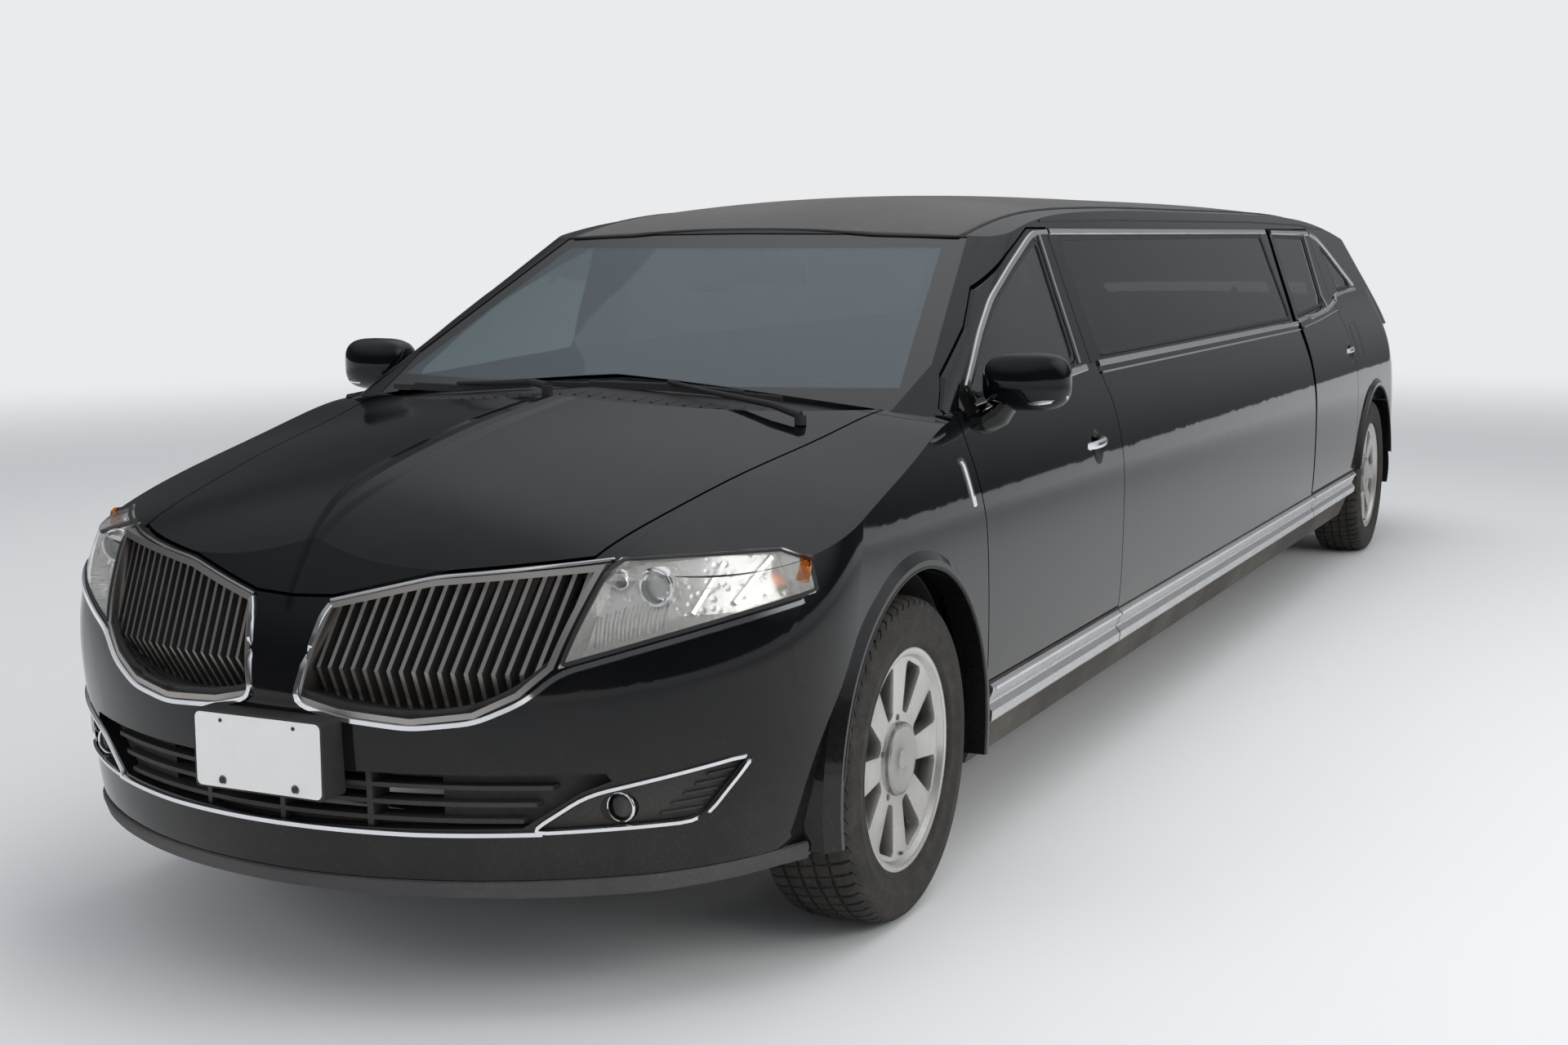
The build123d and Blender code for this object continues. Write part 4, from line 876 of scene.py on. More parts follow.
WHEELS = {
    name: Vector(JOINTS[f"{name.replace('_', '_wheel_')}_spin"]["pos_m"]) for name in both("front", "rear")
}
AXLE = Vector((0.0, 1.0, 0.0))


def spoke(turn):
    """The way out from a wheel's axis at this angle."""
    return Vector((math.cos(turn), 0.0, math.sin(turn)))


def outwards(profile, way):
    """A profile with its places along the axis on this side of the car."""
    return [(radius, way * along) for radius, along in profile]


class TyreOperator(bpy.types.Operator):
    """Tyres with ribs, grooves and sipes"""

    bl_idname = "limo.tyres"
    bl_label = "Tyres"

    pitches = 66
    # Sections in each pitch, and the part of it that a groove takes up
    stations = (0.0, 0.05, 0.20, 0.25)
    groove = (0.03, 0.22)
    groove_depth = 0.0065
    sipe_depth = 0.0035
    shoulder = 0.057
    slant = 0.55
    # Radii below which the sidewall, and the two grooves round the tread, are left alone
    sidewall = 0.356
    groove_floor = 0.3625
    tread_half = 0.09
    # Radius and half width, from the bead over the sidewall to the shoulder
    side = [
        (0.2525, 0.0980), (0.2560, 0.1035), (0.2620, 0.1075), (0.2660, 0.1092), (0.2700, 0.1086),
        (0.2840, 0.1120), (0.3000, 0.1148), (0.3020, 0.1156), (0.3060, 0.1156), (0.3080, 0.1148),
        (0.3250, 0.1138), (0.3400, 0.1100), (0.3440, 0.1094), (0.3500, 0.1060), (0.3580, 0.1000),
        (0.3630, 0.0930), (0.3660, 0.0840),
    ]
    # The tread from the shoulder to its middle, with two grooves
    tread = [
        (0.3676, 0.0740), (0.3684, 0.0600), (0.3618, 0.0588), (0.3618, 0.0522), (0.3690, 0.0510),
        (0.3697, 0.0236), (0.3628, 0.0224), (0.3628, 0.0156), (0.3700, 0.0144),
    ]

    def build(self, bm, centre):
        half = self.side + self.tread
        places = [pitch + share for pitch in range(self.pitches) for share in self.stations]
        turns = [place * math.tau / self.pitches for place in places]
        frames = [basis(spoke(turn), AXLE, spoke(turn).cross(AXLE), centre) for turn in turns]
        sweep(bm, half + outwards(reversed(half), -1.0), frames, closed=True)
        for vert in bm.verts:
            offset = vert.co - centre
            radius = math.hypot(offset.x, offset.z)
            turn = math.atan2(offset.z, offset.x) % math.tau
            share = (turn / math.tau * self.pitches) % 1.0
            across = abs(offset.y)
            if radius < self.groove_floor and across < self.tread_half or radius < self.sidewall:
                continue
            if self.groove[0] < share < self.groove[1]:
                radius -= self.groove_depth if across > self.shoulder else self.sipe_depth
            turn += self.slant * across * (1.0 if offset.y > 0.0 else -1.0)
            vert.co = centre + Vector((radius * math.cos(turn), offset.y, radius * math.sin(turn)))

    def execute(self, context):
        for name, centre in WHEELS.items():
            tyre = new_piece(
                f"treaded_tyre_{name}", lambda bm: self.build(bm, centre), "rubber", f"wheel_{name}", 28.0)
            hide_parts(f"tyre_{name}")
        return {"FINISHED"}


class WheelOperator(bpy.types.Operator):
    """Bevelled alloy wheels with hub caps, lips and wheel bolts"""

    bl_idname = "limo.wheels"
    bl_label = "Wheels"

    bevel = 0.0028
    # Angles in degrees: between faces that lie flat, and at an edge that is rounded
    flat = 0.6
    edge = 38.0
    # Radius and place along the axis, outwards from the wheel's middle
    cap_profile = [
        (0.0, 0.0880), (0.0, 0.0912), (0.0215, 0.0912), (0.0230, 0.0900), (0.0245, 0.0900), (0.0260, 0.0908),
        (0.0740, 0.0904), (0.0760, 0.0888), (0.0775, 0.0888), (0.0795, 0.0902), (0.0825, 0.0885),
        (0.0838, 0.0830), (0.0838, 0.0760),
    ]
    lip_profile = [
        (0.2400, 0.0930), (0.2400, 0.0970), (0.2440, 0.0992), (0.2500, 0.0998), (0.2540, 0.0985),
        (0.2556, 0.0955), (0.2540, 0.0930),
    ]
    bolts = 5
    bolt_circle = 0.095
    bolt_face = 0.0785
    bolt_angle = math.radians(18.0)
    valve_circle = 0.2300

    def build_alloy(self, bm, name):
        """A copy of the wheel's own shape with its sharp edges rounded."""
        bm.from_mesh(NODES[f"wheel_{name}"].data)
        bmesh.ops.remove_doubles(bm, verts=bm.verts, dist=2e-5)
        bmesh.ops.dissolve_limit(
            bm, angle_limit=math.radians(self.flat), use_dissolve_boundaries=False, verts=bm.verts,
            edges=bm.edges)
        sharp = [
            edge for edge in bm.edges
            if len(edge.link_faces) == 2 and edge.calc_face_angle(0.0) > math.radians(self.edge)
        ]
        round_off(bm, sharp, self.bevel, 2, clamp_overlap=True)

    def build_bolts(self, bm, centre, way):
        """The wheel bolts and the valve."""
        for number in range(self.bolts):
            foot = centre + spoke(self.bolt_angle + number * math.tau / self.bolts) * self.bolt_circle
            disc(bm, foot + AXLE * way * self.bolt_face, AXLE * way, 0.0085, 0.014, 6, 0.0075)
        stem = centre + Vector((0.0, way * 0.060, -self.valve_circle))
        sweep(bm, BEAD, rod_frames([stem, stem + Vector((0.0, way * 0.030, 0.012))], 0.004))

    def execute(self, context):
        for name, centre in WHEELS.items():
            way = math.copysign(1.0, centre.y)
            body = f"wheel_{name}"
            alloy = new_piece(f"alloy_wheel_{name}", lambda bm: self.build_alloy(bm, name), "alloy", body)
            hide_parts(body)
            for part, profile, finish in (
                ("cap", self.cap_profile, "cap_metal"), ("lip", self.lip_profile, "alloy"),
            ):
                turned = outwards(profile, way)
                new_piece(f"wheel_{part}_{name}", lambda bm: spun(bm, turned, centre, 96), finish, body, 30.0)
            new_piece(f"wheel_bolts_{name}", lambda bm: self.build_bolts(bm, centre, way), "steel", body)
        return {"FINISHED"}


class BrakeOperator(bpy.types.Operator):
    """Brake discs' machined faces and the calipers"""

    bl_idname = "limo.brakes"
    bl_label = "Brakes"

    disc_profile = [(0.072, 0.0), (0.072, 0.0012), (0.158, 0.0012), (0.159, 0.0)]
    disc_face = 0.816
    # The caliper's ends in degrees, its circle, its place off the disc and half its size
    caliper_angles = (150.0, 210.0)
    caliper_circle = 0.142
    caliper_lift = 0.004
    caliper_half = (0.026, 0.022)
    caliper_steps = 8

    def build_caliper(self, bm, face, way):
        start, end = self.caliper_angles
        frames = []
        for step in range(self.caliper_steps + 1):
            radial = spoke(math.radians(start + (end - start) * step / self.caliper_steps))
            axle = AXLE * way
            place = face + radial * self.caliper_circle + axle * self.caliper_lift
            out, across = self.caliper_half
            frames.append(basis(radial * out, axle * across, radial.cross(axle), place))
        sweep(bm, MOULDING, frames)

    def execute(self, context):
        for name, centre in WHEELS.items():
            end, side = name.split("_")
            way = SIDES[side]
            body = f"knuckle_{side}" if end == "front" else "root"
            face = Vector((centre.x, way * self.disc_face, centre.z))
            profile = outwards(self.disc_profile, way)
            new_piece(f"disc_face_{name}", lambda bm: spun(bm, profile, face, 72), "steel", body)
            new_piece(f"caliper_{name}", lambda bm: self.build_caliper(bm, face, way), "cast_iron", body)
        return {"FINISHED"}


# Nose

class GrilleOperator(bpy.types.Operator):
    """Plated frames round the two grille wings, their ledges and the black sheets behind, which stand in for
    the radiator and are painted shade in the cavity behind the grille
    """

    bl_idname = "limo.grille"
    bl_label = "Grille trim"

    bold_line = [
        (0.098, 0.822), (0.086, 0.800), (0.052, 0.636), (0.150, 0.611), (0.300, 0.599), (0.422, 0.614),
        (0.508, 0.654), (0.566, 0.708), (0.690, 0.746), (0.984, 0.836),
    ]
    thin_line = [(0.094, 0.829), (0.300, 0.879), (0.606, 0.909)]
    ledge_edge = GRILLE_EDGE[3:]
    # The ledge's ribs: how far behind the frame, and how far above it
    ledge_ribs = [(0.012, 0.004), (0.032, 0.0), (0.052, -0.004), (0.072, -0.008)]
    ledge_lift = 0.010
    shade_sheet_depth = 0.150

    def build_ledge(self, bm):
        """A sill that falls back from the frame's lower edge, with fine ribs across it."""
        edge = [(y, z + self.ledge_lift) for y, z in rounded(self.ledge_edge, 0.05, closed=False)]
        stations = drape(faces_of("grille_left"), front_path(*edge), 0.02)
        for depth, lift in self.ledge_ribs:
            moved = [(place + Vector((-depth, 0.0, lift)), normal) for place, normal in stations]
            sweep(bm, BLADE, surface_frames(moved, 0.020, 0.0035))

    # A flat black sheet behind the grille opening: a stand-in for the radiator, and painted shade in the
    # cavity behind the grille
    def build_shade_sheet(self, bm):
        path = front_path(*grown(GRILLE_EDGE, 0.006))
        stations = drape(faces_of("front_bumper", "grille_left", "hood"), path, 0.04, True)
        sheet(bm, [place + Vector((-self.shade_sheet_depth, 0.0, 0.0)) for place, _ in stations], 0.004)

    def execute(self, context):
        rows = [
            (front_path(*rounded(line, 0.03, closed=False)), width, 0.006)
            for line, width in ((self.bold_line, 0.013), (self.thin_line, 0.006))
        ]
        nose = ("grille_left", "front_bumper", "hood")
        new_pair("grille_frame", strips(nose, rows, spacing=0.02), "chrome")
        new_pair("grille_ledge", self.build_ledge, "black_plastic")
        new_pair("grille_shade_sheet", self.build_shade_sheet, "black_plastic")
        return {"FINISHED"}


class NoseTrimOperator(bpy.types.Operator):
    """The plated strip across the bumper, the lip under it and the fog pods' surrounds"""

    bl_idname = "limo.nose_trim"
    bl_label = "Nose trim"

    strip_points = [(0.0, 0.387), (0.300, 0.387), (0.530, 0.391)]
    lip_points = [(0.0, 0.272), (0.400, 0.274), (0.700, 0.278), (0.860, 0.284), (0.900, 0.290)]

    def right_across(self, points):
        """The path from its mirror image's end on the right to its end on the left."""
        return front_path(*[(-y, z) for y, z in reversed(points) if y > 0.0], *points)

    def execute(self, context):
        nose, pods = ("front_bumper",), ("front_bumper", "fog_lamps", "lower_grille")
        bright = [(self.right_across(self.strip_points), 0.012, 0.006)]
        lip = [(self.right_across(self.lip_points), 0.040, 0.008)]
        surround = [(front_path(*rounded(grown(FOG_EDGE, 0.006), 0.035)), 0.010, 0.006)]
        new_piece("bumper_strip", strips(nose, bright), "chrome")
        new_piece("bumper_lip", strips(nose, lip, spacing=0.04), "grey_plastic")
        new_pair("fog_surround", strips(pods, surround, closed=True, spacing=0.02), "chrome")
        return {"FINISHED"}


class HeadlampOperator(bpy.types.Operator):
    """What shows behind the headlamps' clear covers, and their dark edges"""

    bl_idname = "limo.headlamps"
    bl_label = "Headlamps"

    # Middle of the tube's face ahead of the axle, y, z; lens radius; bezel thickness
    tubes = [((0.715, 0.687, 0.857), 0.031, 0.0065), ((0.740, 0.622, 0.870), 0.0135, 0.004)]
    lens_inset = 0.016
    lens_bulge = 0.55
    bezel_gap = 0.004
    # Plated bars beside the tubes, from foot to head
    bars = [((0.745, 0.800), (0.770, 0.890)), ((0.800, 0.815), (0.830, 0.893))]
    # Upright flutes in the lamp's lower inner corner, whose lower edge rises outwards
    flutes = 9
    flute_y = 0.592
    flute_step = 0.014
    edge_rise = 0.307
    marker = [(0.895, 0.850), (0.905, 0.895), (0.935, 0.895)]

    def build_lenses(self, bm):
        for (ahead, y, z), radius, _ in self.tubes:
            centre = spot(ahead, y, z) - Vector((self.lens_inset, 0.0, 0.0))
            turn = Matrix.Translation(centre) @ Matrix.Rotation(math.radians(90.0), 4, "Y")
            verts = bmesh.ops.create_uvsphere(
                bm, u_segments=32, v_segments=16, radius=radius,
                matrix=turn @ Matrix.Diagonal((1.0, 1.0, self.lens_bulge, 1.0)))["verts"]
            behind = [vert for vert in verts if vert.co.x < centre.x - 1e-4]
            bmesh.ops.delete(bm, geom=behind, context="VERTS")

    def build_bezels(self, bm):
        for (ahead, y, z), radius, thickness in self.tubes:
            ring(bm, spot(ahead + 0.001, y, z), FORWARDS, radius + self.bezel_gap, thickness * 0.75)
        strips(("headlamps",), [(front_path(*bar), 0.012, 0.010) for bar in self.bars])(bm)

    def flute(self, number):
        """The path of one flute, a little above the lamp's edge."""
        y = self.flute_y + self.flute_step * number
        corner_y, corner_z = LAMP_EDGE[-1]
        low = corner_z + (y - corner_y) * self.edge_rise + 0.016
        return front_path((y, low), (y + 0.004, low + 0.062))

    def execute(self, context):
        lamps = ("headlamps",)
        new_pair("lamp_lenses", self.build_lenses, "lamp_glass")
        new_pair("lamp_bezels", self.build_bezels, "chrome")
        flutes = [(self.flute(number), 0.010, 0.007) for number in range(self.flutes)]
        new_pair("lamp_ribs", strips(lamps, flutes, BEAD, spacing=0.02), "reflector")
        marker = [(front_path(*self.marker), 0.026, 0.014)]
        new_pair("lamp_marker", strips(lamps, marker, spacing=0.012), "lamp_amber")
        gasket = [(front_path(*rounded(grown(LAMP_EDGE, -0.004), 0.012)), 0.009, 0.0022)]
        covers = ("headlamp_covers",)
        new_pair("lamp_gasket", strips(covers, gasket, closed=True, spacing=0.02), "black_plastic")
        return {"FINISHED"}


class FogLampOperator(bpy.types.Operator):
    """Round fog lamps with bright bezels and the ribbed panels beside them"""

    bl_idname = "limo.fog_lamps"
    bl_label = "Fog lamps"

    face = (0.805, 0.651, 0.435)
    lens_radius = 0.0265

    def build_bezel(self, bm):
        ring(bm, spot(*self.face), FORWARDS, self.lens_radius + 0.003, 0.0032)

    def build_lens(self, bm):
        disc(bm, spot(*self.face), FORWARDS, self.lens_radius, 0.010, 40, self.lens_radius * 0.7)

    def execute(self, context):
        new_pair("fog_bezel", self.build_bezel, "chrome")
        new_pair("fog_lens", self.build_lens, "lamp_glass")
        rows = []
        for number in range(5):
            z = 0.420 + 0.018 * number
            rib = front_path((0.715 + 0.018 * number, z), (0.775 + 0.012 * number, z + 0.006))
            rows.append((rib, 0.006, 0.006))
        new_pair("fog_ribs", strips(("fog_lamps",), rows), "black_plastic")
        return {"FINISHED"}


class PlateOperator(bpy.types.Operator):
    """A blank number plate with its two bolts"""

    bl_idname = "limo.plate"
    bl_label = "Number plate"

    half_width = 0.1525
    low, high = 0.462, 0.611
    thickness = 0.0018
    corner = 0.012
    margin = 0.006
    hole_half = 0.089
    hole_heights = (0.4765, 0.5975)
    face = CAD_BOUNDS[1][0]

    def build_plate(self, bm):
        low = (self.face, -self.half_width, self.low)
        block(bm, low, (self.face + self.thickness, self.half_width, self.high))
        round_off(bm, lengthwise(bm), self.corner, 5)
        faces = [face for face in bm.faces if face.normal.x > 0.9]
        bmesh.ops.inset_region(bm, faces=faces, thickness=self.margin, depth=0.0)
        bmesh.ops.inset_region(bm, faces=faces, thickness=0.0015, depth=-0.0008)

    def build_bolts(self, bm):
        """Bolts in the lower holes and plugs in the upper ones."""
        x = self.face + self.thickness
        for side in (-1.0, 1.0):
            bolt, plug = (Vector((x, side * self.hole_half, z)) for z in self.hole_heights)
            disc(bm, bolt + FORWARDS * 0.004, FORWARDS, 0.0075, 0.006, 24, 0.0055)
            ring(bm, bolt - FORWARDS * 0.0015, FORWARDS, 0.0085, 0.0012)
            disc(bm, plug + FORWARDS * 0.0008, FORWARDS, 0.0038, 0.0012, 20)

    def execute(self, context):
        new_piece("blank_plate", self.build_plate, "plate_enamel")
        new_piece("plate_bolts", self.build_bolts, "black_plastic")
        return {"FINISHED"}


# Glasshouse

class WindowTrimOperator(bpy.types.Operator):
    """Plated mouldings over, under and behind the side windows, and the rubber round the panes"""

    bl_idname = "limo.window_trim"
    bl_label = "Window trim"

    # Name, node it lies on, body, path, width
    mouldings = [
        ("front_top", "front_door", "front_door",
         [(-0.585, 1.163), (-0.777, 1.281), (-0.951, 1.371), (-1.196, 1.458), (-1.404, 1.527),
          (-1.470, 1.5425), (-1.585, 1.5445)], 0.019),
        ("front_rear", "front_door", "front_door", [(-1.524, 1.170), (-1.503, 1.536)], 0.022),
        ("front_belt", "front_door", "front_door",
         [(-0.560, 1.114), (-1.100, 1.140), (-1.530, 1.159)], 0.020),
        ("stretch_top", "side_panel", "root", [(-1.605, 1.5465), (-4.500, 1.5465)], 0.019),
        ("stretch_belt", "side_panel", "root", [(-1.655, 1.1630), (-4.590, 1.1655)], 0.020),
        ("stretch_line", "side_panel", "root", [(-1.655, 1.1370), (-4.590, 1.1395)], 0.007),
        ("rear_top", "rear_door", "rear_door", [(-4.612, 1.5450), (-5.395, 1.5380)], 0.019),
        ("rear_rear", "rear_door", "rear_door", [(-5.274, 1.212), (-5.292, 1.532)], 0.022),
        ("rear_belt", "rear_door", "rear_door",
         [(-4.625, 1.1700), (-5.020, 1.1870), (-5.270, 1.1990), (-5.420, 1.2160), (-5.462, 1.2240)], 0.020),
        ("rear_line", "rear_door", "rear_door",
         [(-4.628, 1.1440), (-5.020, 1.1610), (-5.475, 1.1880)], 0.007),
        ("quarter_top", "quarter_panel", "root",
         [(-5.425, 1.5370), (-5.560, 1.5190), (-5.748, 1.4530), (-6.130, 1.2920)], 0.017),
        ("quarter_belt", "quarter_panel", "root",
         [(-5.500, 1.2290), (-5.640, 1.2560), (-6.150, 1.2680)], 0.020),
    ]
    # Name, node, body, outline
    panes = [
        ("front_door_glass", "front_door_glass_left", "front_door", FRONT_WINDOW),
        ("stretch_glass", "stretch_glass", "root", STRETCH_WINDOW),
        ("rear_door_glass", "rear_door_glass_left", "rear_door", REAR_WINDOW),
        ("quarter_glass", "quarter_glass", "root", QUARTER_WINDOW),
    ]

    def execute(self, context):
        for name, node, body, points, width in self.mouldings:
            rows = [(side_path(*rounded(points, 0.05, closed=False)), width, 0.0065)]
            new_pair(f"moulding_{name}", strips((f"{node}_left",), rows, spacing=0.05), "chrome", body)
        for name, node, body, outline in self.panes:
            rows = [(side_path(*rounded(grown(outline, -0.007), 0.03)), 0.016, 0.0045)]
            new_pair(f"seal_{name}", strips((node,), rows, closed=True, spacing=0.06), "black_plastic", body)
        return {"FINISHED"}


class RoofTrimOperator(bpy.types.Operator):
    """The dark bead round the roof cover and the gutters beside it"""

    bl_idname = "limo.roof_trim"
    bl_label = "Roof trim"

    gutter_line = [(-1.560, 1.578), (-2.400, 1.584), (-4.300, 1.586), (-5.300, 1.576), (-5.800, 1.545)]

    def execute(self, context):
        half = context.scene.limo_sizes.cover_half_width
        edge = [(-1.100, 0.0), (-1.104, half * 0.6), (-1.128, half - 0.02), (-1.170, half), (-5.900, half)]
        for name, path, width, height, spacing in (
            ("roof_cover_bead", top_path(*rounded(edge, 0.05, closed=False)), 0.012, 0.0035, 0.08),
            ("roof_gutters", side_path(*self.gutter_line), 0.008, 0.003, 0.1),
        ):
            build = strips(("roof",), [(path, width, height)], BEAD, spacing=spacing)
            new_piece(name, doubled(build), "black_plastic")
        return {"FINISHED"}


class ScreenOperator(bpy.types.Operator):
    """Wipers, the sensor housing and mirror behind the windscreen, and the cowl's slats"""

    bl_idname = "limo.screen"
    bl_label = "Wipers and screen fittings"

    # Pivot, arm's elbow and the blade's end, middle and other end, in distance ahead and y
    wipers = [
        ((-0.125, 0.610), (-0.205, 0.330), [(-0.300, 0.480), (-0.243, 0.200), (-0.215, -0.120)]),
        ((-0.100, -0.060), (-0.215, -0.300), [(-0.222, -0.180), (-0.262, -0.430), (-0.350, -0.690)]),
    ]
    arm_radii = (0.010, 0.0085, 0.006, 0.005)
    blade_radius = 0.0065
    spine_radius = 0.0055
    housing_edge = [
        (0.115, 1.522), (0.085, 1.470), (0.050, 1.418), (-0.050, 1.418), (-0.085, 1.470), (-0.115, 1.522),
    ]
    housing_thickness = 0.022
    slats = 28
    slat_step = 0.04
    slat_length = 0.055

    def build_wipers(self, bm):
        tree = faces_of("windscreen", "cowl_panel", "hood", "fender_left", "fender_right", "roof")

        def over(place, lift):
            return tree.ray_cast(Vector((front(place[0]), place[1], ABOVE)), DOWNWARDS)[0] + raised(lift)

        def raised(lift):
            return Vector((0.0, 0.0, lift))

        for pivot, elbow, ends in self.wipers:
            foot = over(pivot, 0.002)
            disc(bm, foot + raised(0.020), (0.0, 0.0, 1.0), 0.014, 0.022, 20)
            top = over(elbow, 0.026)
            arm = [foot + raised(0.020), foot.lerp(top, 0.3) + raised(0.022), top, over(ends[1], 0.028)]
            sweep(bm, BEAD, rod_frames(arm, *self.arm_radii))
            blade = [over(end, 0.012) for end in ends]
            dense = [blade[0].lerp(blade[1], step / 6) for step in range(6)]
            dense += [blade[1].lerp(blade[2], step / 6) for step in range(7)]
            sweep(bm, BLADE, rod_frames(dense, self.blade_radius))
            sweep(bm, BEAD, rod_frames([point + raised(0.008) for point in dense[2:-2]], self.spine_radius))

    def build_housing(self, bm):
        stations = drape(faces_of("windscreen"), front_path(*self.housing_edge), 0.2, True)
        inside = [place + Vector((-0.016, 0.0, -0.012)) for place, _ in stations]
        sheet(bm, inside, self.housing_thickness, cut=False)
        block(bm, spot(-1.250, -0.115, 1.395), spot(-1.225, 0.115, 1.455), 0.01)
        sweep(bm, BEAD, rod_frames([spot(-1.130, 0.0, 1.475), spot(-1.228, 0.0, 1.430)], 0.008))

    def slat(self, number):
        """The path of one slat, ahead of the cowl's curved rear edge."""
        y = (number + 0.5 - self.slats / 2) * self.slat_step
        rear_edge = -0.150 - 0.42 * y * y
        return top_path((rear_edge, y), (rear_edge + self.slat_length, y))

    def execute(self, context):
        rows = [(self.slat(number), 0.010, 0.003) for number in range(self.slats)]
        new_piece("wipers", self.build_wipers, "black_plastic")
        new_piece("screen_housing", self.build_housing, "black_plastic")
        new_piece("cowl_slats", strips(("cowl_panel",), rows, BEAD, spacing=0.02), "black_plastic")
        return {"FINISHED"}


# Sides

class DoorHandleOperator(bpy.types.Operator):
    """Plated door handles over their dark cups"""

    bl_idname = "limo.handles"
    bl_label = "Door handles"

    # Body, handle's middle ahead of the front axle, height
    handles = [("front_door", -1.422, 0.953), ("rear_door", -5.475, 1.008)]
    # From a cup's middle up to the plain skin above it
    cup_rim = 0.062
    half_length = 0.100
    standing_out = 0.030
    drop = 0.006
    steps = 12
    thick, thin = 0.0135, 0.0095

    def build_grip(self, bm, middle):
        points, radii = [], []
        for step in range(self.steps + 1):
            share = 2.0 * step / self.steps - 1.0
            out = self.standing_out * (1.0 - abs(share) ** 2.5) - 0.004
            points.append(middle + Vector((share * self.half_length, out, -self.drop * share)))
            radii.append(self.thick - (self.thick - self.thin) * share ** 2)
        sweep(bm, BEAD, rod_frames(points, *radii))
        for way in (-1.0, 1.0):
            foot = middle + Vector((way * self.half_length, -0.006, -self.drop * way))
            block(bm, foot - Vector((0.020, 0.006, 0.015)), foot + Vector((0.020, 0.010, 0.015)), 0.006)

    def execute(self, context):
        for body, ahead, height in self.handles:
            rim = faces_of(f"{body}_left").ray_cast(spot(ahead, BESIDE, height + self.cup_rim), INWARDS)[0]
            middle = spot(ahead, rim.y, height)
            new_pair(f"handle_{body}", lambda bm: self.build_grip(bm, middle), "chrome", body)
            new_pair(
                f"handle_cup_{body}", lambda bm: ring(bm, middle + INWARDS * 0.003, AXLE, 0.046, 0.0022),
                "black_plastic", body)
        return {"FINISHED"}


class MirrorOperator(bpy.types.Operator):
    """Mirror caps, their bright strips and glass, the dark bases and the doors' corner covers"""

    bl_idname = "limo.mirrors"
    bl_label = "Door mirrors"

    cap_middle = (-0.665, 0.980, 1.178)
    cap_half = Vector((0.078, 0.106, 0.073))
    squareness = 0.62
    back_cut = -0.72
    front_taper = 0.30
    strip_line = [(0.890, 1.134), (0.960, 1.128), (1.040, 1.130), (1.080, 1.142)]
    glass_low, glass_high = (-0.722, 0.888, 1.118), (-0.718, 1.072, 1.238)
    glass_corner = 0.034
    # Place, half length along the car, half thickness
    base_stations = [
        ((-0.600, 0.862, 1.062), 0.050, 0.026), ((-0.610, 0.892, 1.074), 0.048, 0.028),
        ((-0.632, 0.925, 1.098), 0.044, 0.030), ((-0.650, 0.945, 1.130), 0.040, 0.024),
    ]
    base_lean = Vector((0.0, -0.45, 0.9)).normalized()
    corner_edge = [(-0.470, 1.100), (-0.560, 1.108), (-0.562, 1.178), (-0.500, 1.138)]

    def build_cap(self, bm):
        """A rounded shell that narrows forwards and is flat behind."""
        for vert in bmesh.ops.create_uvsphere(bm, u_segments=56, v_segments=28, radius=1.0)["verts"]:
            x, y, z = (math.copysign(abs(part) ** self.squareness, part) for part in vert.co)
            forward = max(0.0, x)
            narrow = 1.0 - self.front_taper * forward ** 2
            half = self.cap_half
            x, y, z = max(x, self.back_cut) * half.x, y * narrow * half.y, z * narrow * half.z
            vert.co = spot(*self.cap_middle) + Vector((x, y - 0.02 * forward, z))

    def build_glass(self, bm):
        block(bm, spot(*self.glass_low), spot(*self.glass_high))
        round_off(bm, lengthwise(bm), self.glass_corner, 6)

    def build_base(self, bm):
        ahead = self.base_lean.cross(FORWARDS)
        sweep(bm, BEAD, [
            basis(FORWARDS * along, self.base_lean * across, ahead, spot(*place))
            for place, along, across in self.base_stations
        ])

    def build_corner(self, bm):
        """The dark three-cornered cover ahead of the door window."""
        stations = drape(faces_of("front_door_left"), side_path(*self.corner_edge), 0.03, True)
        sheet(bm, [place + normal * 0.003 for place, normal in stations], 0.006)

    def execute(self, context):
        for side, cap in zip(SIDES, new_pair("mirror_cap", self.build_cap, "paint", "front_door")):
            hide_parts(f"mirror_{side}")
        rows = [(front_path(*rounded(self.strip_line, 0.03, closed=False)), 0.011, 0.004)]
        new_pair("mirror_strip", strips(("mirror_left",), rows, spacing=0.012), "chrome", "front_door")
        new_pair("mirror_glass", self.build_glass, "mirror", "front_door")
        new_pair("mirror_base", self.build_base, "gloss_black", "front_door")
        new_pair("mirror_corner", self.build_corner, "gloss_black", "front_door")
        return {"FINISHED"}


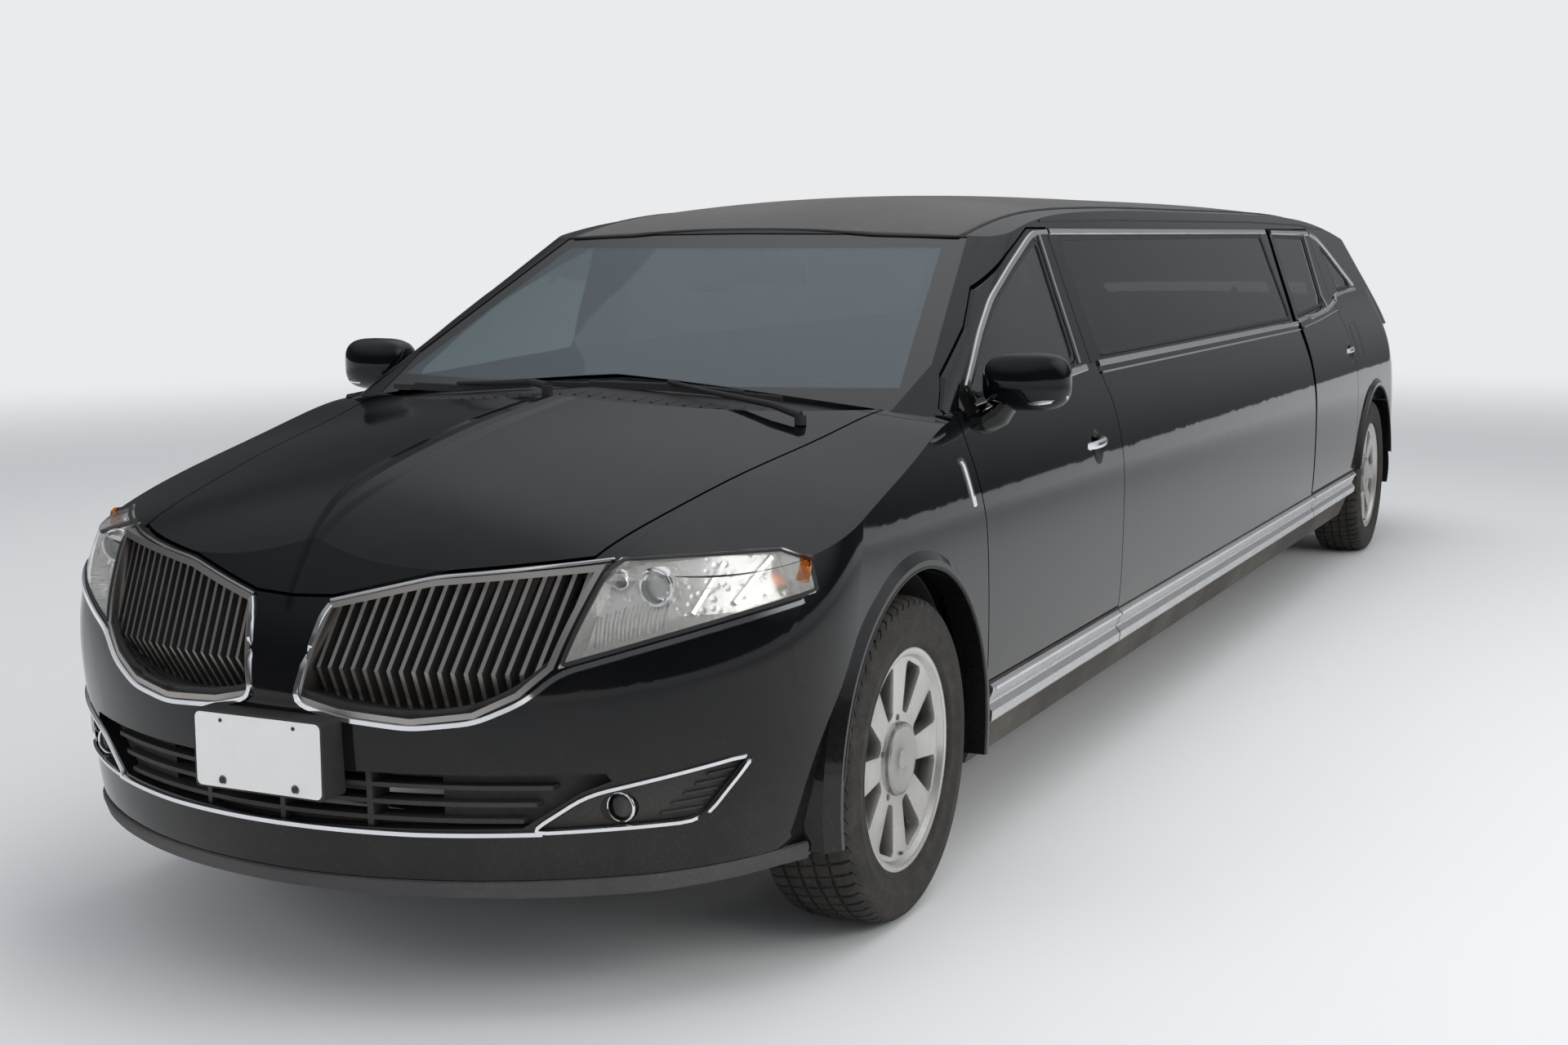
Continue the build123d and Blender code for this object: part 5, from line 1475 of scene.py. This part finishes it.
class BodyDetailOperator(bpy.types.Operator):
    """Wing bars, sill edges, arch edges and the fuel flap"""

    bl_idname = "limo.body_details"
    bl_label = "Body details"

    bar_line = [(-0.352, 1.012), (-0.366, 1.000), (-0.392, 0.898)]
    sill_runs = [(-0.530, -1.630), (-1.646, -4.563), (-4.580, -5.535)]
    sill_height = 0.428
    flap_edge = [(-5.640, 0.960), (-5.800, 0.965), (-5.800, 1.125), (-5.640, 1.120)]
    # Axle, and the nodes that the arch over it runs along
    arches = [
        (FRONT_AXLE, ("fender_left", "front_bumper")),
        (REAR_AXLE, ("quarter_panel_left", "rear_door_left", "rear_bumper")),
    ]
    arch_radius = 0.436
    arch_angles = [math.radians(angle) for angle in range(8, 173, 4)]

    def build_arch_edges(self, bm):
        for axle, nodes in self.arches:
            places = [axle + spoke(angle) * self.arch_radius for angle in self.arch_angles]
            path = [Vector((place.x, BESIDE, place.z)) for place in places], INWARDS
            strips(nodes, [(path, 0.008, 0.003)], BEAD, spacing=0.05)(bm)

    def execute(self, context):
        bar = [(side_path(*self.bar_line), 0.013, 0.006)]
        sills = [
            (side_path((start, self.sill_height), (end, self.sill_height)), 0.012, 0.004)
            for start, end in self.sill_runs
        ]
        flap = [(side_path(*rounded(self.flap_edge, 0.03)), 0.0035, 0.0012)]
        new_pair("wing_bar", strips(("fender_left",), bar, spacing=0.02), "chrome")
        new_pair("sill_strip", strips(("rocker_mouldings",), sills, BEAD, spacing=0.2), "chrome")
        new_pair("arch_edge", self.build_arch_edges, "black_plastic")
        new_piece(
            "fuel_flap_edge", strips(("quarter_panel_left",), flap, BEAD, closed=True, spacing=0.02),
            "black_plastic")
        return {"FINISHED"}


# Tail

class TailOperator(bpy.types.Operator):
    """Lamp band trim, bumper pad, tailpipe tip, reflectors, rear wiper and grip"""

    bl_idname = "limo.tail"
    bl_label = "Tail details"

    band_half = 0.730
    band_heights = (0.9925, 1.0605)
    segments = 49
    segment_step = 0.030
    segment_ends = (1.000, 1.053)
    # Place along the pipe from its end, and radius
    tip_profile = [
        (-0.010, 0.0305), (-0.010, 0.0350), (-0.006, 0.0370), (0.130, 0.0360), (0.134, 0.0340),
        (0.134, 0.0305),
    ]
    tip_steps = 40
    # The rear wiper's foot, and the width and line of its arm and its blade
    wiper_foot = [(0.0, 1.210), (0.0, 1.220)]
    wiper_rods = [(0.014, [(0.010, 1.216), (0.200, 1.275)]), (0.010, [(0.060, 1.282), (0.460, 1.290)])]
    wiper_lift = 0.014

    def build_tip(self, bm):
        """A polished sleeve on the end of the tailpipe."""
        low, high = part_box("exhaust")
        pipe = Vector((low.x, (low.y + high.y) / 2, (low.z + high.z) / 2))
        frames = []
        for step in range(self.tip_steps):
            turn = step * math.tau / self.tip_steps
            radial = Vector((0.0, math.cos(turn), math.sin(turn)))
            frames.append(basis(FORWARDS, radial, FORWARDS.cross(radial), pipe))
        sweep(bm, self.tip_profile, frames, closed=True)

    def build_wiper(self, bm):
        tree = faces_of("rear_glass", "tailgate")
        foot, normal = drape(tree, back_path(*self.wiper_foot), 0.1)[0]
        disc(bm, foot + normal * 0.024, normal, 0.020, 0.026, 24, 0.016)
        for width, points in self.wiper_rods:
            lifted = [
                (place + way * self.wiper_lift, way) for place, way in drape(tree, back_path(*points), 0.03)
            ]
            sweep(bm, MOULDING, surface_frames(lifted, width, 0.008))

    def execute(self, context):
        band = ("tail_lamp_band",)
        half = self.band_half
        lines = [(back_path((-half, z), (half, z)), 0.007, 0.004) for z in self.band_heights]
        low, high = self.segment_ends
        places = [(number - self.segments // 2) * self.segment_step for number in range(self.segments)]
        segments = [(back_path((y, low), (y, high)), 0.004, 0.0025) for y in places]
        pad = [(back_path((-0.780, 0.420), (0.780, 0.420)), 0.150, 0.010)]
        grip = [(back_path((-0.330, 0.955), (0.330, 0.955)), 0.022, 0.010)]
        reflectors = [(back_path((0.640, 0.520), (0.800, 0.526)), 0.026, 0.004)]
        new_piece("tail_band_lines", strips(band, lines, spacing=0.06), "chrome", "tailgate")
        new_piece("tail_band_segments", strips(band, segments), "lamp_red", "tailgate")
        new_piece("bumper_pad", strips(("rear_bumper",), pad, spacing=0.06), "grey_plastic")
        new_piece("tailpipe_tip", self.build_tip, "chrome")
        new_piece("rear_wiper", self.build_wiper, "black_plastic", "tailgate")
        new_piece("tailgate_grip", strips(("tailgate",), grip, spacing=0.04), "chrome", "tailgate")
        new_pair("reflector", strips(("rear_bumper",), reflectors), "lamp_red")
        return {"FINISHED"}


# Cabin

class SeatOperator(bpy.types.Operator):
    """Padded seats with head restraints and sewn channels"""

    bl_idname = "limo.seats"
    bl_label = "Seats"

    # Hip line ahead of the front axle, middle y, width, channels across, the head restraints' places
    seats = [
        (-1.480, 0.375, 0.480, 5, (0.0,)), (-1.480, -0.375, 0.480, 5, (0.0,)),
        (-5.623, 0.0, 0.930, 9, (-0.28, 0.28)),
    ]
    floor_height = 0.300
    back_lean = math.radians(-13.0)
    channel_depth = 0.012
    corner_pull = 0.05
    fill = 0.85

    def add_pad(self, bm, low, high, channels, lean=0.0, pivot=None):
        """A crowned pad between two corners, with channels sewn along its length."""
        pad = bmesh.new()
        block(pad, low, high)
        bmesh.ops.subdivide_edges(pad, edges=pad.edges[:], cuts=channels * 2 - 1, use_grid_fill=True)
        low, high = Vector(low), Vector(high)
        centre = (low + high) / 2
        half = (high - low) / 2
        for vert in pad.verts:
            offset = vert.co - centre
            x, y, z = (part / reach for part, reach in zip(offset, half))
            channel = abs(math.sin(math.pi * (y + 1.0) / 2 * channels))
            swell = self.channel_depth * (channel ** 0.6 - 1.0)
            vert.co = centre + offset * (1.0 - self.corner_pull * (abs(x * y) + abs(y * z) + abs(x * z)))
            vert.co.z += swell * max(0.0, z)
            vert.co.x += swell * max(0.0, x)
        if lean:
            bmesh.ops.rotate(pad, verts=pad.verts, cent=pivot, matrix=Matrix.Rotation(lean, 3, "Y"))
        mesh = bpy.data.meshes.new("pad")
        pad.to_mesh(mesh)
        pad.free()
        bm.from_mesh(mesh)
        bpy.data.meshes.remove(mesh)

    def build_seat(self, bm, hip, half, channels, restraints):
        def corner(ahead, across, up):
            return hip + Vector((ahead, across, up))

        self.add_pad(bm, corner(-0.060, -half, 0.080), corner(0.480, half, 0.225), channels)
        self.add_pad(
            bm, corner(-0.130, -half * 0.96, 0.130), corner(0.010, half * 0.96, 0.700), channels,
            self.back_lean, corner(-0.03, 0.0, 0.18))
        for shift in restraints:
            self.add_pad(bm, corner(-0.225, shift - 0.125, 0.715), corner(-0.135, shift + 0.125, 0.885), 2)

    def build_base(self, bm, hip, half):
        low, high = Vector((-0.040, -half * 0.8, 0.002)), Vector((0.420, half * 0.8, 0.085))
        block(bm, hip + low, hip + high, 0.02)

    def execute(self, context):
        for number, (ahead, y, width, channels, restraints) in enumerate(self.seats):
            hip, half = spot(ahead, y, self.floor_height), width / 2
            piece = new_piece(
                f"padded_seat_{number}", lambda bm: self.build_seat(bm, hip, half, channels, restraints),
                "leather", sharp=60.0)
            smooth = piece.modifiers.new("rounding", "SUBSURF")
            smooth.levels = 1
            smooth.render_levels = 1
            if number == 0:
                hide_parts("seats")
            new_piece(f"seat_base_{number}", lambda bm: self.build_base(bm, hip, half), "interior")
        return {"FINISHED"}


class CabinOperator(bpy.types.Operator):
    """Steering wheel rim, instrument cowl, vents, console and screen"""

    bl_idname = "limo.cabin"
    bl_label = "Cabin"

    wheel_centre = (-0.960, 0.370, 0.985)
    wheel_radius = 0.180
    lean = math.radians(25.0)
    # Two opposite corners, edge radius and its segments: instrument cowl, vents, console
    console = [
        ((-0.800, 0.190, 1.040), (-0.640, 0.550, 1.118), 0.035, 5),
        ((-0.840, -0.130, 0.900), (-0.760, 0.130, 1.050), 0.015, 3),
        ((-1.420, -0.110, 0.302), (-0.780, 0.110, 0.560), 0.03, 3),
    ]
    display = [((-0.846, -0.105, 0.955), (-0.838, 0.105, 1.040), 0.004, 2)]

    def build_rim(self, bm):
        axis = Vector((-math.cos(self.lean), 0.0, math.sin(self.lean)))
        centre = spot(*self.wheel_centre)
        ring(bm, centre - axis * 0.013, axis, self.wheel_radius, 0.0150, 64, 12)
        disc(bm, centre + axis * 0.010, axis, 0.066, 0.030, 32, 0.056)

    def build_blocks(self, bm, rows):
        for low, high, radius, segments in rows:
            block(bm, spot(*low), spot(*high), radius, segments)

    def execute(self, context):
        new_piece("steering_rim", self.build_rim, "leather", slot="interior")
        new_piece("cabin_console", lambda bm: self.build_blocks(bm, self.console), "interior")
        new_piece("centre_display", lambda bm: self.build_blocks(bm, self.display), "gloss_black")
        return {"FINISHED"}


class LimoPanel(bpy.types.Panel):
    """Steps of the dressing, in order"""

    bl_idname = "VIEW3D_PT_limo"
    bl_label = "Limousine"
    bl_space_type = "VIEW_3D"
    bl_region_type = "UI"
    bl_category = "Limousine"

    def draw(self, context):
        for operator in OPERATORS:
            self.layout.operator(operator.bl_idname)
        for group in (context.scene.limo_colours, context.scene.limo_sizes):
            for name in group.__annotations__:
                self.layout.prop(group, name)


OPERATORS = [
    StageOperator, FinishOperator, TyreOperator, WheelOperator, BrakeOperator, GrilleOperator,
    NoseTrimOperator, HeadlampOperator, FogLampOperator, PlateOperator, WindowTrimOperator,
    RoofTrimOperator, ScreenOperator, DoorHandleOperator, MirrorOperator, BodyDetailOperator, TailOperator,
    SeatOperator, CabinOperator,
]
CLASSES = [LimoColours, LimoSizes, *OPERATORS, LimoPanel]


def register():
    for cls in CLASSES:
        bpy.utils.register_class(cls)
    bpy.types.Scene.limo_colours = PointerProperty(type=LimoColours)
    bpy.types.Scene.limo_sizes = PointerProperty(type=LimoSizes)


def unregister():
    del bpy.types.Scene.limo_sizes
    del bpy.types.Scene.limo_colours
    for cls in reversed(CLASSES):
        bpy.utils.unregister_class(cls)


def main():
    register()
    for operator in OPERATORS:
        group, action = operator.bl_idname.split(".")
        getattr(getattr(bpy.ops, group), action)()


if __name__ == "__main__":
    main()
